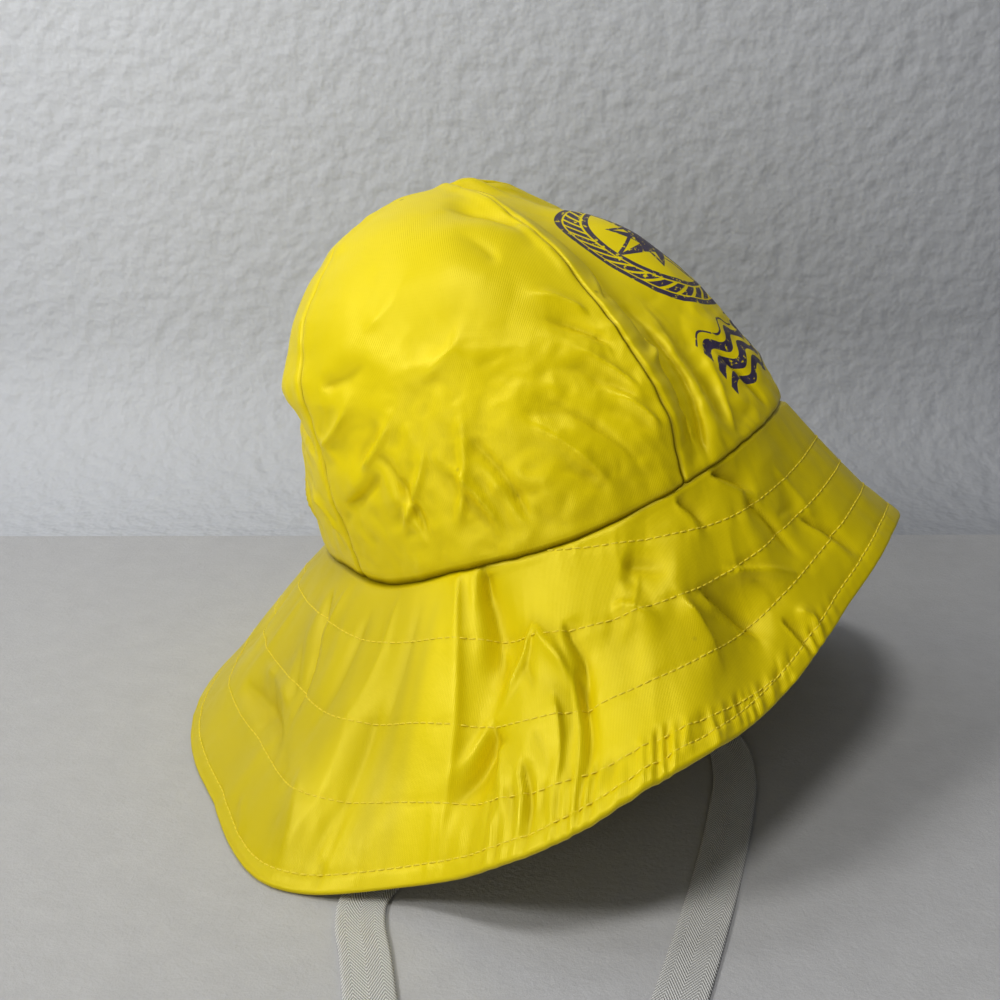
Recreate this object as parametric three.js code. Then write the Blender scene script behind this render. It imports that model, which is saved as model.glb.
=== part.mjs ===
// Rain hat with a four-panel crown, a wide sloping brim and two tie tapes, lying on a table.
// Millimetres and degrees. +X is the front of the hat, -Y its right side and +Z is up.
// Azimuths start at the front and run round by the right side: 90 is right, 180 the back.
import * as THREE from "three";

// Head opening and crown
const HEAD_CIRCUMFERENCE = 590;
const CROWN_HEIGHT = 122;
const CROWN_LEAN_BACK = 14;
const CROWN_LEAN_RIGHT = 3;
const CROWN_CLOTH = 1.5;

// Brim: two layers of cloth stitched together, with a turned hem
const BRIM_WIDTH = 99;
const BRIM_CLOTH = 2;
const HEM_WIDTH = 6.5;
const HEM_CLOTH = 3;
const HEM_STEP = 0.8;

// How the hat lies on the table
const OPENING_HEIGHT = 96;
const FRONT_RAISE = 16.3;
const LEFT_LEAN = 4.7;

// Seams and the gaps that sewn pieces keep
const FRONT_SEAM_AZIMUTH = 48;
const BACK_SEAM_AZIMUTH = 129;
const FRONT_SEAM_SWEEP = 22;
const SEAM_GAP = 0.3;
const APEX_RADIUS = 1.2;

// Tie tapes
const TAPE_WIDTH = 16;
const TAPE_THICKNESS = 1;
const TAPE_LIFT = 0.05;

const HEAD_RADIUS = HEAD_CIRCUMFERENCE / (2 * Math.PI);
const TABLE_HEIGHT = 0;

// Crown sections: how fast each one draws in and rises, and its bulge as a share of the head radius
const CROWN_SECTIONS = [
  { azimuth: 0, drawIn: 1.0, rise: 0.99, bulge: -0.096 },
  { azimuth: 45, drawIn: 1.23, rise: 0.96, bulge: -0.135 },
  { azimuth: 90, drawIn: 1.02, rise: 0.85, bulge: 0.064 },
  { azimuth: 135, drawIn: 0.94, rise: 0.79, bulge: 0.128 },
  { azimuth: 180, drawIn: 0.97, rise: 0.92, bulge: -0.135 },
  { azimuth: 225, drawIn: 0.94, rise: 0.79, bulge: 0.128 },
  { azimuth: 270, drawIn: 1.02, rise: 0.85, bulge: 0.064 },
  { azimuth: 315, drawIn: 1.23, rise: 0.96, bulge: -0.135 },
];

// Brim sections: slope at the crown and at the rim, sideways turn of the fall line,
// width as a share of the brim width, and lift of the seam as a share of the head radius
const BRIM_SECTIONS = [
  { azimuth: 0, slopeTop: 62, slopeRim: 56, turn: -3, width: 0.66, lift: 0.135 },
  { azimuth: 20, slopeTop: 71, slopeRim: 68, turn: 16, width: 0.7, lift: 0.107 },
  { azimuth: 40, slopeTop: 77, slopeRim: 56, turn: 30, width: 0.82, lift: 0.054 },
  { azimuth: 60, slopeTop: 69, slopeRim: 30, turn: 25, width: 0.93, lift: -0.005 },
  { azimuth: 80, slopeTop: 56, slopeRim: 42, turn: 17, width: 1.02, lift: -0.051 },
  { azimuth: 100, slopeTop: 53, slopeRim: 56, turn: 14, width: 1.065, lift: -0.068 },
  { azimuth: 120, slopeTop: 45, slopeRim: 42, turn: 6, width: 1.12, lift: -0.099 },
  { azimuth: 140, slopeTop: 45, slopeRim: 42, turn: 3, width: 1.0, lift: -0.036 },
  { azimuth: 160, slopeTop: 38, slopeRim: 38, turn: 1, width: 0.95, lift: -0.008 },
  { azimuth: 180, slopeTop: 35, slopeRim: 34, turn: 0, width: 0.91, lift: 0 },
  { azimuth: 210, slopeTop: 32, slopeRim: 30, turn: -4, width: 0.97, lift: 0.013 },
  { azimuth: 240, slopeTop: 37, slopeRim: 32, turn: -10, width: 1.05, lift: 0.002 },
  { azimuth: 270, slopeTop: 50, slopeRim: 44, turn: -19, width: 1.05, lift: -0.036 },
  { azimuth: 300, slopeTop: 69, slopeRim: 60, turn: -27, width: 0.98, lift: -0.051 },
  { azimuth: 330, slopeTop: 62, slopeRim: 51, turn: -17, width: 0.79, lift: 0.044 },
];

// Folds of the brim: depth is a share of the brim width, and from and to are shares of the fall line.
// The one at 107 degrees arches the rim over the right tape.
const BRIM_FOLDS = [
  { azimuth: 22, halfAngle: 4, depth: -0.022, from: 0.15, to: 0.75 },
  { azimuth: 43, halfAngle: 5, depth: -0.03, from: 0.4, to: 0.92 },
  { azimuth: 57, halfAngle: 5, depth: 0.022, from: 0.08, to: 0.62 },
  { azimuth: 76, halfAngle: 4, depth: -0.026, from: 0.35, to: 0.85 },
  { azimuth: 83, halfAngle: 4, depth: 0.022, from: 0.3, to: 0.92 },
  { azimuth: 91, halfAngle: 5, depth: -0.045, from: 0.02, to: 0.85 },
  { azimuth: 100, halfAngle: 6, depth: 0.028, from: 0.02, to: 0.92 },
  { azimuth: 107, halfAngle: 5, depth: 0.02, from: 0.65, to: 1.35 },
  { azimuth: 109, halfAngle: 4, depth: -0.018, from: 0.15, to: 0.85 },
  { azimuth: 140, halfAngle: 9, depth: -0.03, from: 0.15, to: 0.85 },
  { azimuth: 208, halfAngle: 10, depth: -0.03, from: 0.2, to: 0.9 },
  { azimuth: 252, halfAngle: 8, depth: 0.026, from: 0.1, to: 0.9 },
  { azimuth: 276, halfAngle: 6, depth: -0.035, from: 0.08, to: 0.85 },
  { azimuth: 305, halfAngle: 7, depth: 0.024, from: 0.15, to: 0.85 },
  { azimuth: 334, halfAngle: 5, depth: -0.022, from: 0.15, to: 0.8 },
];

// Dents of the crown: centre height is a share of the way up, depth a share of the head radius,
// and slant leans the dent round the crown, in degrees for the whole way up
const CROWN_DENTS = [
  { azimuth: 41, height: 0.12, halfAngle: 3.5, halfHeight: 0.2, slant: -10, depth: -0.05 },
  { azimuth: 34, height: 0.12, halfAngle: 3.5, halfHeight: 0.2, slant: -20, depth: 0.022 },
  { azimuth: 36, height: 0.36, halfAngle: 9, halfHeight: 0.14, slant: 0, depth: -0.035 },
  { azimuth: 78, height: 0.7, halfAngle: 12, halfHeight: 0.07, slant: 0, depth: -0.028 },
  { azimuth: 92, height: 0.1, halfAngle: 9, halfHeight: 0.12, slant: 30, depth: -0.022 },
  { azimuth: 115, height: 0.22, halfAngle: 8, halfHeight: 0.1, slant: -40, depth: -0.024 },
  { azimuth: 143, height: 0.32, halfAngle: 12, halfHeight: 0.045, slant: 0, depth: 0.04 },
  { azimuth: 146, height: 0.23, halfAngle: 12, halfHeight: 0.045, slant: 0, depth: -0.03 },
  { azimuth: 205, height: 0.2, halfAngle: 9, halfHeight: 0.14, slant: 20, depth: -0.03 },
  { azimuth: 262, height: 0.3, halfAngle: 10, halfHeight: 0.14, slant: -20, depth: -0.03 },
  { azimuth: 322, height: 0.24, halfAngle: 8, halfHeight: 0.18, slant: 0, depth: -0.035 },
];

// Steps of the facets
const CROWN_LEVELS = [0, 0.05, 0.11, 0.17, 0.23, 0.29, 0.35, 0.42, 0.5, 0.58, 0.67, 0.76, 0.86, 0.94];
const CROWN_STEP = 4;
const BRIM_LEVELS = [0, 0.07, 0.2, 0.34, 0.48, 0.62, 0.76, 0.87];
const BRIM_STEP = 3;
const SLOPE_STEPS = 12;
const TAPE_STEPS = 40;

// Middle line of each tie tape, from the stitches inside the crown to its free end
const RIGHT_TAPE_ROUTE = [
  [-6.75, -84.6, 103],
  [-6.87, -85.3, 94],
  [-8.5, -91, 60],
  [-10.5, -98, 26],
  [-12.2, -104.5, 8],
  [-14, -112, 1.6],
  [-17, -122, 0.6],
  [-21, -137, 0.6],
  [-23.5, -151, 0.6],
  [-20.5, -164, 0.6],
  [-14.5, -177, 0.6],
  [-6, -197, 0.6],
  [6, -226, 0.6],
  [18, -256, 0.6],
  [28, -288, 0.6],
  [35, -320, 0.6],
  [39, -352, 0.6],
  [40, -390, 0.6],
];
const LEFT_TAPE_ROUTE = [
  [-17.5, 93.1, 92],
  [-17, 91.2, 81],
  [-14.8, 83, 52],
  [-12.4, 74, 22],
  [-10.6, 67.5, 7],
  [-8.4, 60, 1.5],
  [-4, 50, 0.6],
  [9, 34, 0.6],
  [33, 18, 0.6],
  [62, 2, 0.6],
  [80, -16, 0.6],
  [87, -42, 0.6],
  [88, -74, 0.6],
  [87, -108, 0.6],
  [85, -140, 0.6],
  [82, -176, 0.6],
  [78, -212, 0.6],
];

// Colours
const YELLOW_CLOTH = 0xe2cb18;
const TAPE_COTTON = 0xd9d9d4;

const toRadians = THREE.MathUtils.degToRad;

// Value of one column of a closed table of sections, smooth between its rows
function sectionValue(sections, column, azimuth) {
  const count = sections.length;
  const angle = THREE.MathUtils.euclideanModulo(azimuth, 360);
  const at = (row) => {
    const turns = Math.floor(row / count);
    const section = sections[row - turns * count];
    return [section.azimuth + 360 * turns, section[column]];
  };
  let row = 0;
  while (row + 1 < count && sections[row + 1].azimuth <= angle) {
    row += 1;
  }
  const [a0, v0] = at(row - 1);
  const [a1, v1] = at(row);
  const [a2, v2] = at(row + 1);
  const [a3, v3] = at(row + 2);
  const span = a2 - a1;
  const part = (angle - a1) / span;
  const tangent1 = ((v2 - v0) / (a2 - a0)) * span;
  const tangent2 = ((v3 - v1) / (a3 - a1)) * span;
  const part2 = part * part;
  const part3 = part2 * part;
  return (2 * part3 - 3 * part2 + 1) * v1 + (part3 - 2 * part2 + part) * tangent1
    + (3 * part2 - 2 * part3) * v2 + (part3 - part2) * tangent2;
}

// Smooth bump of height 1 and the given half width, at its half height there
function bump(distance, halfWidth) {
  return Math.exp(-Math.LN2 * (distance / halfWidth) ** 2);
}

function azimuthDifference(a, b) {
  return THREE.MathUtils.euclideanModulo(a - b + 180, 360) - 180;
}

// Tilt of the hat: its front is raised and it leans to its left, about the middle of the head opening
const pose = new THREE.Matrix4().makeRotationFromEuler(
  new THREE.Euler(-toRadians(LEFT_LEAN), -toRadians(FRONT_RAISE), 0, "XYZ"),
);
pose.setPosition(0, 0, OPENING_HEIGHT);

function seamLift(azimuth) {
  return HEAD_RADIUS * sectionValue(BRIM_SECTIONS, "lift", azimuth);
}

// Outside of the crown; height is 0 at the brim and 1 at the apex
function crownPoint(azimuth, height) {
  const angle = toRadians(azimuth);
  const quarter = (height * Math.PI) / 2;
  const inward = Math.cos(quarter) ** sectionValue(CROWN_SECTIONS, "drawIn", azimuth);
  const upward = Math.sin(quarter) ** sectionValue(CROWN_SECTIONS, "rise", azimuth);
  let bulge = sectionValue(CROWN_SECTIONS, "bulge", azimuth) * Math.sin(Math.PI * height);
  for (const dent of CROWN_DENTS) {
    const middle = dent.azimuth + dent.slant * (height - dent.height);
    bulge += dent.depth * bump(azimuthDifference(azimuth, middle), dent.halfAngle)
      * bump(height - dent.height, dent.halfHeight) * Math.min(1, height / CROWN_LEVELS[1]);
  }
  const radius = HEAD_RADIUS * (inward + bulge);
  return new THREE.Vector3(
    radius * Math.cos(angle) - CROWN_LEAN_BACK * (1 - inward),
    -radius * Math.sin(angle) - CROWN_LEAN_RIGHT * (1 - inward),
    seamLift(azimuth) * (1 - upward) + CROWN_HEIGHT * upward,
  );
}

function brimFold(azimuth, share) {
  let depth = 0;
  for (const fold of BRIM_FOLDS) {
    if (share > fold.from && share < fold.to) {
      const along = Math.sin((Math.PI * (share - fold.from)) / (fold.to - fold.from));
      depth += fold.depth * bump(azimuthDifference(azimuth, fold.azimuth), fold.halfAngle) * along;
    }
  }
  return BRIM_WIDTH * depth;
}

// Upper side of the brim; share is 0 at the crown and 1 at the rim
function brimPoint(azimuth, share) {
  const angle = toRadians(azimuth);
  const heading = angle + toRadians(sectionValue(BRIM_SECTIONS, "turn", azimuth));
  const slopeTop = sectionValue(BRIM_SECTIONS, "slopeTop", azimuth);
  const slopeRim = sectionValue(BRIM_SECTIONS, "slopeRim", azimuth);
  const length = BRIM_WIDTH * sectionValue(BRIM_SECTIONS, "width", azimuth);
  let out = 0;
  let down = 0;
  for (let step = 0; step < SLOPE_STEPS; step += 1) {
    const middle = (share * (step + 0.5)) / SLOPE_STEPS;
    const slope = toRadians(slopeTop + (slopeRim - slopeTop) * middle);
    out += (Math.cos(slope) * length * share) / SLOPE_STEPS;
    down += (Math.sin(slope) * length * share) / SLOPE_STEPS;
  }
  const slope = toRadians(slopeTop + (slopeRim - slopeTop) * share);
  const fold = brimFold(azimuth, share);
  out += fold * Math.sin(slope);
  down -= fold * Math.cos(slope);
  return new THREE.Vector3(
    HEAD_RADIUS * Math.cos(angle) + out * Math.cos(heading),
    -HEAD_RADIUS * Math.sin(angle) - out * Math.sin(heading),
    seamLift(azimuth) - down,
  );
}

// Outward normal of a surface whose second value runs down the hat in the given direction
function surfaceNormal(surface, azimuth, value, downward) {
  const step = 0.5;
  const slip = 0.01;
  const lower = Math.min(value + slip, 1);
  const upper = Math.max(value - slip, 0);
  const around = surface(azimuth + step, value).sub(surface(azimuth - step, value));
  const along = surface(azimuth, lower).sub(surface(azimuth, upper)).multiplyScalar(downward);
  return around.cross(along).normalize();
}

// Point in the posed hat, laid on the table where it would sink below it
function posed(point) {
  point.applyMatrix4(pose);
  point.z = Math.max(point.z, TABLE_HEIGHT);
  return point;
}

// Closed wall between two grids of points, whose columns run round the hat and rows down it
function wallGeometry(outer, inner, closesRound) {
  const columns = outer.length;
  const rows = outer[0].length;
  const vertices = [...outer.flat(), ...inner.flat()];
  const outside = (column, row) => (column % columns) * rows + row;
  const inside = (column, row) => outside(column, row) + columns * rows;
  const triangles = [];
  const quad = (a, b, c, d) => triangles.push(a, b, c, a, c, d);
  const spans = closesRound ? columns : columns - 1;
  for (let i = 0; i < spans; i += 1) {
    for (let j = 0; j + 1 < rows; j += 1) {
      quad(outside(i, j), outside(i + 1, j), outside(i + 1, j + 1), outside(i, j + 1));
      quad(inside(i, j), inside(i, j + 1), inside(i + 1, j + 1), inside(i + 1, j));
    }
    const last = rows - 1;
    quad(outside(i, 0), inside(i, 0), inside(i + 1, 0), outside(i + 1, 0));
    quad(outside(i, last), outside(i + 1, last), inside(i + 1, last), inside(i, last));
  }
  if (!closesRound) {
    const end = columns - 1;
    for (let j = 0; j + 1 < rows; j += 1) {
      quad(outside(0, j), outside(0, j + 1), inside(0, j + 1), inside(0, j));
      quad(outside(end, j), inside(end, j), inside(end, j + 1), outside(end, j + 1));
    }
  }
  const geometry = new THREE.BufferGeometry().setFromPoints(vertices);
  geometry.setIndex(triangles);
  geometry.computeVertexNormals();
  return geometry;
}

// Crown panel between two seams, which may sweep round the crown on their way up
function crownPanel(fromSeam, toSeam) {
  const top = 1 - (2 / Math.PI) * (APEX_RADIUS / HEAD_RADIUS);
  const levels = [...CROWN_LEVELS, top].reverse();
  const spans = Math.round((toSeam.azimuth - fromSeam.azimuth) / CROWN_STEP);
  const outer = [];
  const inner = [];
  for (let column = 0; column <= spans; column += 1) {
    const share = column / spans;
    const outerColumn = [];
    const innerColumn = [];
    for (const height of levels) {
      const radius = Math.max(APEX_RADIUS, HEAD_RADIUS * Math.cos((height * Math.PI) / 2));
      const gap = THREE.MathUtils.radToDeg(SEAM_GAP / 2 / radius);
      const from = fromSeam.azimuth + fromSeam.sweep * height ** 2 + gap;
      const to = toSeam.azimuth + toSeam.sweep * height ** 2 - gap;
      const azimuth = THREE.MathUtils.lerp(from, to, share);
      const point = crownPoint(azimuth, height);
      const inward = height > 0
        ? surfaceNormal(crownPoint, azimuth, height, -1)
        : new THREE.Vector3(point.x, point.y, 0).normalize();
      const innerPoint = point.clone().addScaledVector(inward, -CROWN_CLOTH);
      point.z += height > 0 ? 0 : SEAM_GAP / 2;
      innerPoint.z += height > 0 ? 0 : SEAM_GAP / 2;
      outerColumn.push(posed(point));
      innerColumn.push(posed(innerPoint));
    }
    outer.push(outerColumn);
    inner.push(innerColumn);
  }
  return wallGeometry(outer, inner, false);
}

// Brim all the way round, with its thicker hem and a level edge under the crown
function brim() {
  const outer = [];
  const inner = [];
  for (let azimuth = 0; azimuth < 360; azimuth += BRIM_STEP) {
    const length = BRIM_WIDTH * sectionValue(BRIM_SECTIONS, "width", azimuth);
    const hem = 1 - HEM_WIDTH / length;
    const levels = [...BRIM_LEVELS, hem - HEM_STEP / length, hem, 1];
    const outerColumn = [];
    const innerColumn = [];
    for (const share of levels) {
      const point = brimPoint(azimuth, share);
      const cloth = share >= hem ? HEM_CLOTH : BRIM_CLOTH;
      const inward = share > 0
        ? surfaceNormal(brimPoint, azimuth, share, 1)
        : new THREE.Vector3(point.x, point.y, 0).normalize();
      const innerPoint = point.clone().addScaledVector(inward, -cloth);
      point.z -= share > 0 ? 0 : SEAM_GAP / 2;
      innerPoint.z -= share > 0 ? 0 : SEAM_GAP / 2;
      outerColumn.push(posed(point));
      innerColumn.push(posed(innerPoint));
    }
    outer.push(outerColumn);
    inner.push(innerColumn);
  }
  return wallGeometry(outer, inner, true);
}

// Flat tape whose width stays level and square to the way it runs
function tapeGeometry(route) {
  const curve = new THREE.CatmullRomCurve3(route.map((point) => new THREE.Vector3(...point)), false, "centripetal");
  const up = new THREE.Vector3(0, 0, 1);
  const ring = [];
  for (let step = 0; step <= TAPE_STEPS; step += 1) {
    const middle = curve.getPointAt(step / TAPE_STEPS);
    middle.z = Math.max(middle.z, TABLE_HEIGHT + TAPE_LIFT + TAPE_THICKNESS / 2);
    const run = curve.getTangentAt(step / TAPE_STEPS);
    const across = new THREE.Vector3().crossVectors(up, run).normalize().multiplyScalar(TAPE_WIDTH / 2);
    const thick = new THREE.Vector3().crossVectors(run, across).normalize().multiplyScalar(TAPE_THICKNESS / 2);
    ring.push([
      middle.clone().add(across).add(thick),
      middle.clone().sub(across).add(thick),
      middle.clone().sub(across).sub(thick),
      middle.clone().add(across).sub(thick),
    ]);
  }
  const triangles = [];
  const corners = 4;
  for (let step = 0; step < TAPE_STEPS; step += 1) {
    for (let corner = 0; corner < corners; corner += 1) {
      const a = step * corners + corner;
      const b = step * corners + ((corner + 1) % corners);
      triangles.push(a, b, b + corners, a, b + corners, a + corners);
    }
  }
  const end = TAPE_STEPS * corners;
  triangles.push(0, 2, 1, 0, 3, 2, end, end + 1, end + 2, end, end + 2, end + 3);
  const geometry = new THREE.BufferGeometry().setFromPoints(ring.flat());
  geometry.setIndex(triangles);
  geometry.computeVertexNormals();
  return geometry;
}

function namedMesh(name, geometry, color, roughness) {
  const material = new THREE.MeshStandardMaterial({ color, roughness, metalness: 0 });
  const mesh = new THREE.Mesh(geometry, material);
  mesh.name = name;
  return mesh;
}

const frontSeam = { azimuth: FRONT_SEAM_AZIMUTH, sweep: FRONT_SEAM_SWEEP };
const backSeam = { azimuth: BACK_SEAM_AZIMUTH, sweep: 0 };
const farBackSeam = { azimuth: 360 - BACK_SEAM_AZIMUTH, sweep: 0 };
const farFrontSeam = { azimuth: 360 - FRONT_SEAM_AZIMUTH, sweep: -FRONT_SEAM_SWEEP };
const nearFrontSeam = { azimuth: -FRONT_SEAM_AZIMUTH, sweep: -FRONT_SEAM_SWEEP };

const CLOTH_ROUGHNESS = 0.42;
const TAPE_ROUGHNESS = 0.9;

const hat = new THREE.Group();
hat.add(namedMesh("crown_front_panel", crownPanel(nearFrontSeam, frontSeam), YELLOW_CLOTH, CLOTH_ROUGHNESS));
hat.add(namedMesh("crown_right_panel", crownPanel(frontSeam, backSeam), YELLOW_CLOTH, CLOTH_ROUGHNESS));
hat.add(namedMesh("crown_back_panel", crownPanel(backSeam, farBackSeam), YELLOW_CLOTH, CLOTH_ROUGHNESS));
hat.add(namedMesh("crown_left_panel", crownPanel(farBackSeam, farFrontSeam), YELLOW_CLOTH, CLOTH_ROUGHNESS));
hat.add(namedMesh("brim", brim(), YELLOW_CLOTH, CLOTH_ROUGHNESS));

// The origin is on the table, under the middle of the hat
const hatMiddle = new THREE.Box3().setFromObject(hat).getCenter(new THREE.Vector3());
hat.position.set(-hatMiddle.x, -hatMiddle.y, 0);

const part = new THREE.Group();
part.add(hat);
part.add(namedMesh("right_tie_tape", tapeGeometry(RIGHT_TAPE_ROUTE), TAPE_COTTON, TAPE_ROUGHNESS));
part.add(namedMesh("left_tie_tape", tapeGeometry(LEFT_TAPE_ROUTE), TAPE_COTTON, TAPE_ROUGHNESS));

export default part;
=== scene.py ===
import math

import bmesh
import bpy
import numpy as np
from bpy.props import FloatProperty, FloatVectorProperty, PointerProperty
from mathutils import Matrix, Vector, noise


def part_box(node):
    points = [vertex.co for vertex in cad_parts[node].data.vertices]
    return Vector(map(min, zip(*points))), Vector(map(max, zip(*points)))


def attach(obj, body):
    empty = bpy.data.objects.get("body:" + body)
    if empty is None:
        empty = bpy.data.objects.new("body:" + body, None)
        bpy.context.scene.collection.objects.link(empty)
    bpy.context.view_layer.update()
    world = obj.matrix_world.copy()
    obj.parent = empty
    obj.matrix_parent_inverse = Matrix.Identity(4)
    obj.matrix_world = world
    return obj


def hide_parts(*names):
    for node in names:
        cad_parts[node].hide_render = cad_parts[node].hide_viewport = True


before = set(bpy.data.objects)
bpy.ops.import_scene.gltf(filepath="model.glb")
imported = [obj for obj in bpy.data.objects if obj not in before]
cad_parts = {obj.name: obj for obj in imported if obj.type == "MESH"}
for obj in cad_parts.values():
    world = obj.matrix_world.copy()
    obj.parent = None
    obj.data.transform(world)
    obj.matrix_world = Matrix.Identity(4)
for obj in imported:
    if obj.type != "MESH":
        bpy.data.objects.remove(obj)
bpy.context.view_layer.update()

bl_info = {
    "name": "Rain hat",
    "version": (1, 0, 0),
    "blender": (4, 5, 0),
    "location": "3D View > Sidebar > Rain Hat",
    "description": "Coated-cloth rain hat with a spiral-stitched brim and two tie tapes",
    "category": "Add Mesh",
}

MM = 0.001

# Crown sections: azimuth, how fast it draws in and rises, bulge as a share of the head radius
CROWN_SECTIONS = (
    (0, 1.0, 0.99, -0.096),
    (45, 1.23, 0.96, -0.135),
    (90, 1.02, 0.85, 0.064),
    (135, 0.94, 0.79, 0.128),
    (180, 0.97, 0.92, -0.135),
    (225, 0.94, 0.79, 0.128),
    (270, 1.02, 0.85, 0.064),
    (315, 1.23, 0.96, -0.135),
)
DRAW_IN, RISE, BULGE = 1, 2, 3

# Brim sections: azimuth, slope at the crown and at the rim, sideways turn of the fall line,
# width as a share of the brim width, lift of the seam as a share of the head radius
BRIM_SECTIONS = (
    (0, 62, 56, -3, 0.66, 0.135),
    (20, 71, 68, 16, 0.7, 0.107),
    (40, 77, 56, 30, 0.82, 0.054),
    (60, 69, 30, 25, 0.93, -0.005),
    (80, 56, 42, 17, 1.02, -0.051),
    (100, 53, 56, 14, 1.065, -0.068),
    (120, 45, 42, 6, 1.12, -0.099),
    (140, 45, 42, 3, 1.0, -0.036),
    (160, 38, 38, 1, 0.95, -0.008),
    (180, 35, 34, 0, 0.91, 0),
    (210, 32, 30, -4, 0.97, 0.013),
    (240, 37, 32, -10, 1.05, 0.002),
    (270, 50, 44, -19, 1.05, -0.036),
    (300, 69, 60, -27, 0.98, -0.051),
    (330, 62, 51, -17, 0.79, 0.044),
)
SLOPE_TOP, SLOPE_RIM, TURN, WIDTH, LIFT = 1, 2, 3, 4, 5

# Brim folds: azimuth, half angle, depth as a share of the brim width, from and to along the fall line
BRIM_FOLDS = (
    (22, 4, -0.022, 0.15, 0.75), (43, 5, -0.03, 0.4, 0.92), (57, 5, 0.022, 0.08, 0.62),
    (76, 4, -0.026, 0.35, 0.85), (83, 4, 0.022, 0.3, 0.92), (91, 5, -0.045, 0.02, 0.85),
    (100, 6, 0.028, 0.02, 0.92), (107, 5, 0.02, 0.65, 1.35), (109, 4, -0.018, 0.15, 0.85),
    (140, 9, -0.03, 0.15, 0.85), (208, 10, -0.03, 0.2, 0.9), (252, 8, 0.026, 0.1, 0.9),
    (276, 6, -0.035, 0.08, 0.85), (305, 7, 0.024, 0.15, 0.85), (334, 5, -0.022, 0.15, 0.8),
)

# Crown dents: azimuth, height, half angle, half height, slant, depth as a share of the head radius
CROWN_DENTS = (
    (41, 0.12, 3.5, 0.2, -10, -0.05), (34, 0.12, 3.5, 0.2, -20, 0.022), (36, 0.36, 9, 0.14, 0, -0.035),
    (78, 0.7, 12, 0.07, 0, -0.028), (92, 0.1, 9, 0.12, 30, -0.022), (115, 0.22, 8, 0.1, -40, -0.024),
    (143, 0.32, 12, 0.045, 0, 0.03), (146, 0.23, 12, 0.045, 0, -0.03), (205, 0.2, 9, 0.14, 20, -0.03),
    (262, 0.3, 10, 0.14, -20, -0.03), (322, 0.24, 8, 0.18, 0, -0.035),
)

# Creases pressed into the crown: azimuth and height at both ends, half width and depth in mm
CROWN_CREASES = (
    (51, 0.1, 60, 0.2, 2.2, 0.9), (52, 0.17, 66, 0.3, 2.6, 0.9), (53, 0.26, 68, 0.36, 3.0, -0.8),
    (55, 0.33, 70, 0.42, 3.0, 0.7), (57, 0.06, 74, 0.22, 2.4, -0.7), (64, 0.05, 80, 0.2, 2.6, 0.8),
    (82, 0.04, 92, 0.2, 2.4, -0.9), (88, 0.03, 99, 0.17, 2.2, 1.0), (97, 0.05, 90, 0.24, 2.4, 0.8),
    (104, 0.04, 112, 0.2, 2.4, -1.0), (110, 0.06, 99, 0.19, 2.0, 0.9), (116, 0.16, 104, 0.26, 2.6, 1.0),
    (124, 0.1, 110, 0.16, 2.2, -0.9), (127, 0.2, 114, 0.3, 2.8, 0.9), (122, 0.32, 108, 0.36, 4.5, -0.7),
    (96, 0.3, 84, 0.4, 6.0, 0.5), (108, 0.42, 94, 0.56, 8.0, 0.5), (72, 0.5, 84, 0.62, 8.0, -0.5),
    (56, 0.56, 85, 0.73, 7.0, -1.3), (40, 0.02, 35, 0.34, 2.4, -1.3), (30, 0.03, 22, 0.22, 3.0, 0.7),
    (14, 0.02, 19, 0.2, 2.6, -0.7), (46, 0.2, 33, 0.3, 2.6, 0.8), (47, 0.34, 34, 0.42, 3.0, -0.8),
    (131, 0.05, 142, 0.12, 2.2, 0.9), (131, 0.18, 150, 0.26, 2.6, -1.0),
    (150, 0.05, 166, 0.22, 3.0, 0.9), (176, 0.06, 186, 0.3, 3.2, -0.9),
    (205, 0.04, 196, 0.26, 3.0, 1.0), (222, 0.1, 236, 0.28, 2.8, -1.0),
    (246, 0.04, 258, 0.24, 2.8, 1.0), (270, 0.06, 260, 0.3, 2.8, -0.9),
    (286, 0.04, 298, 0.26, 2.6, 0.9), (308, 0.06, 296, 0.18, 2.4, -0.9),
    (324, 0.03, 331, 0.3, 2.6, 0.9),
)

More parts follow.
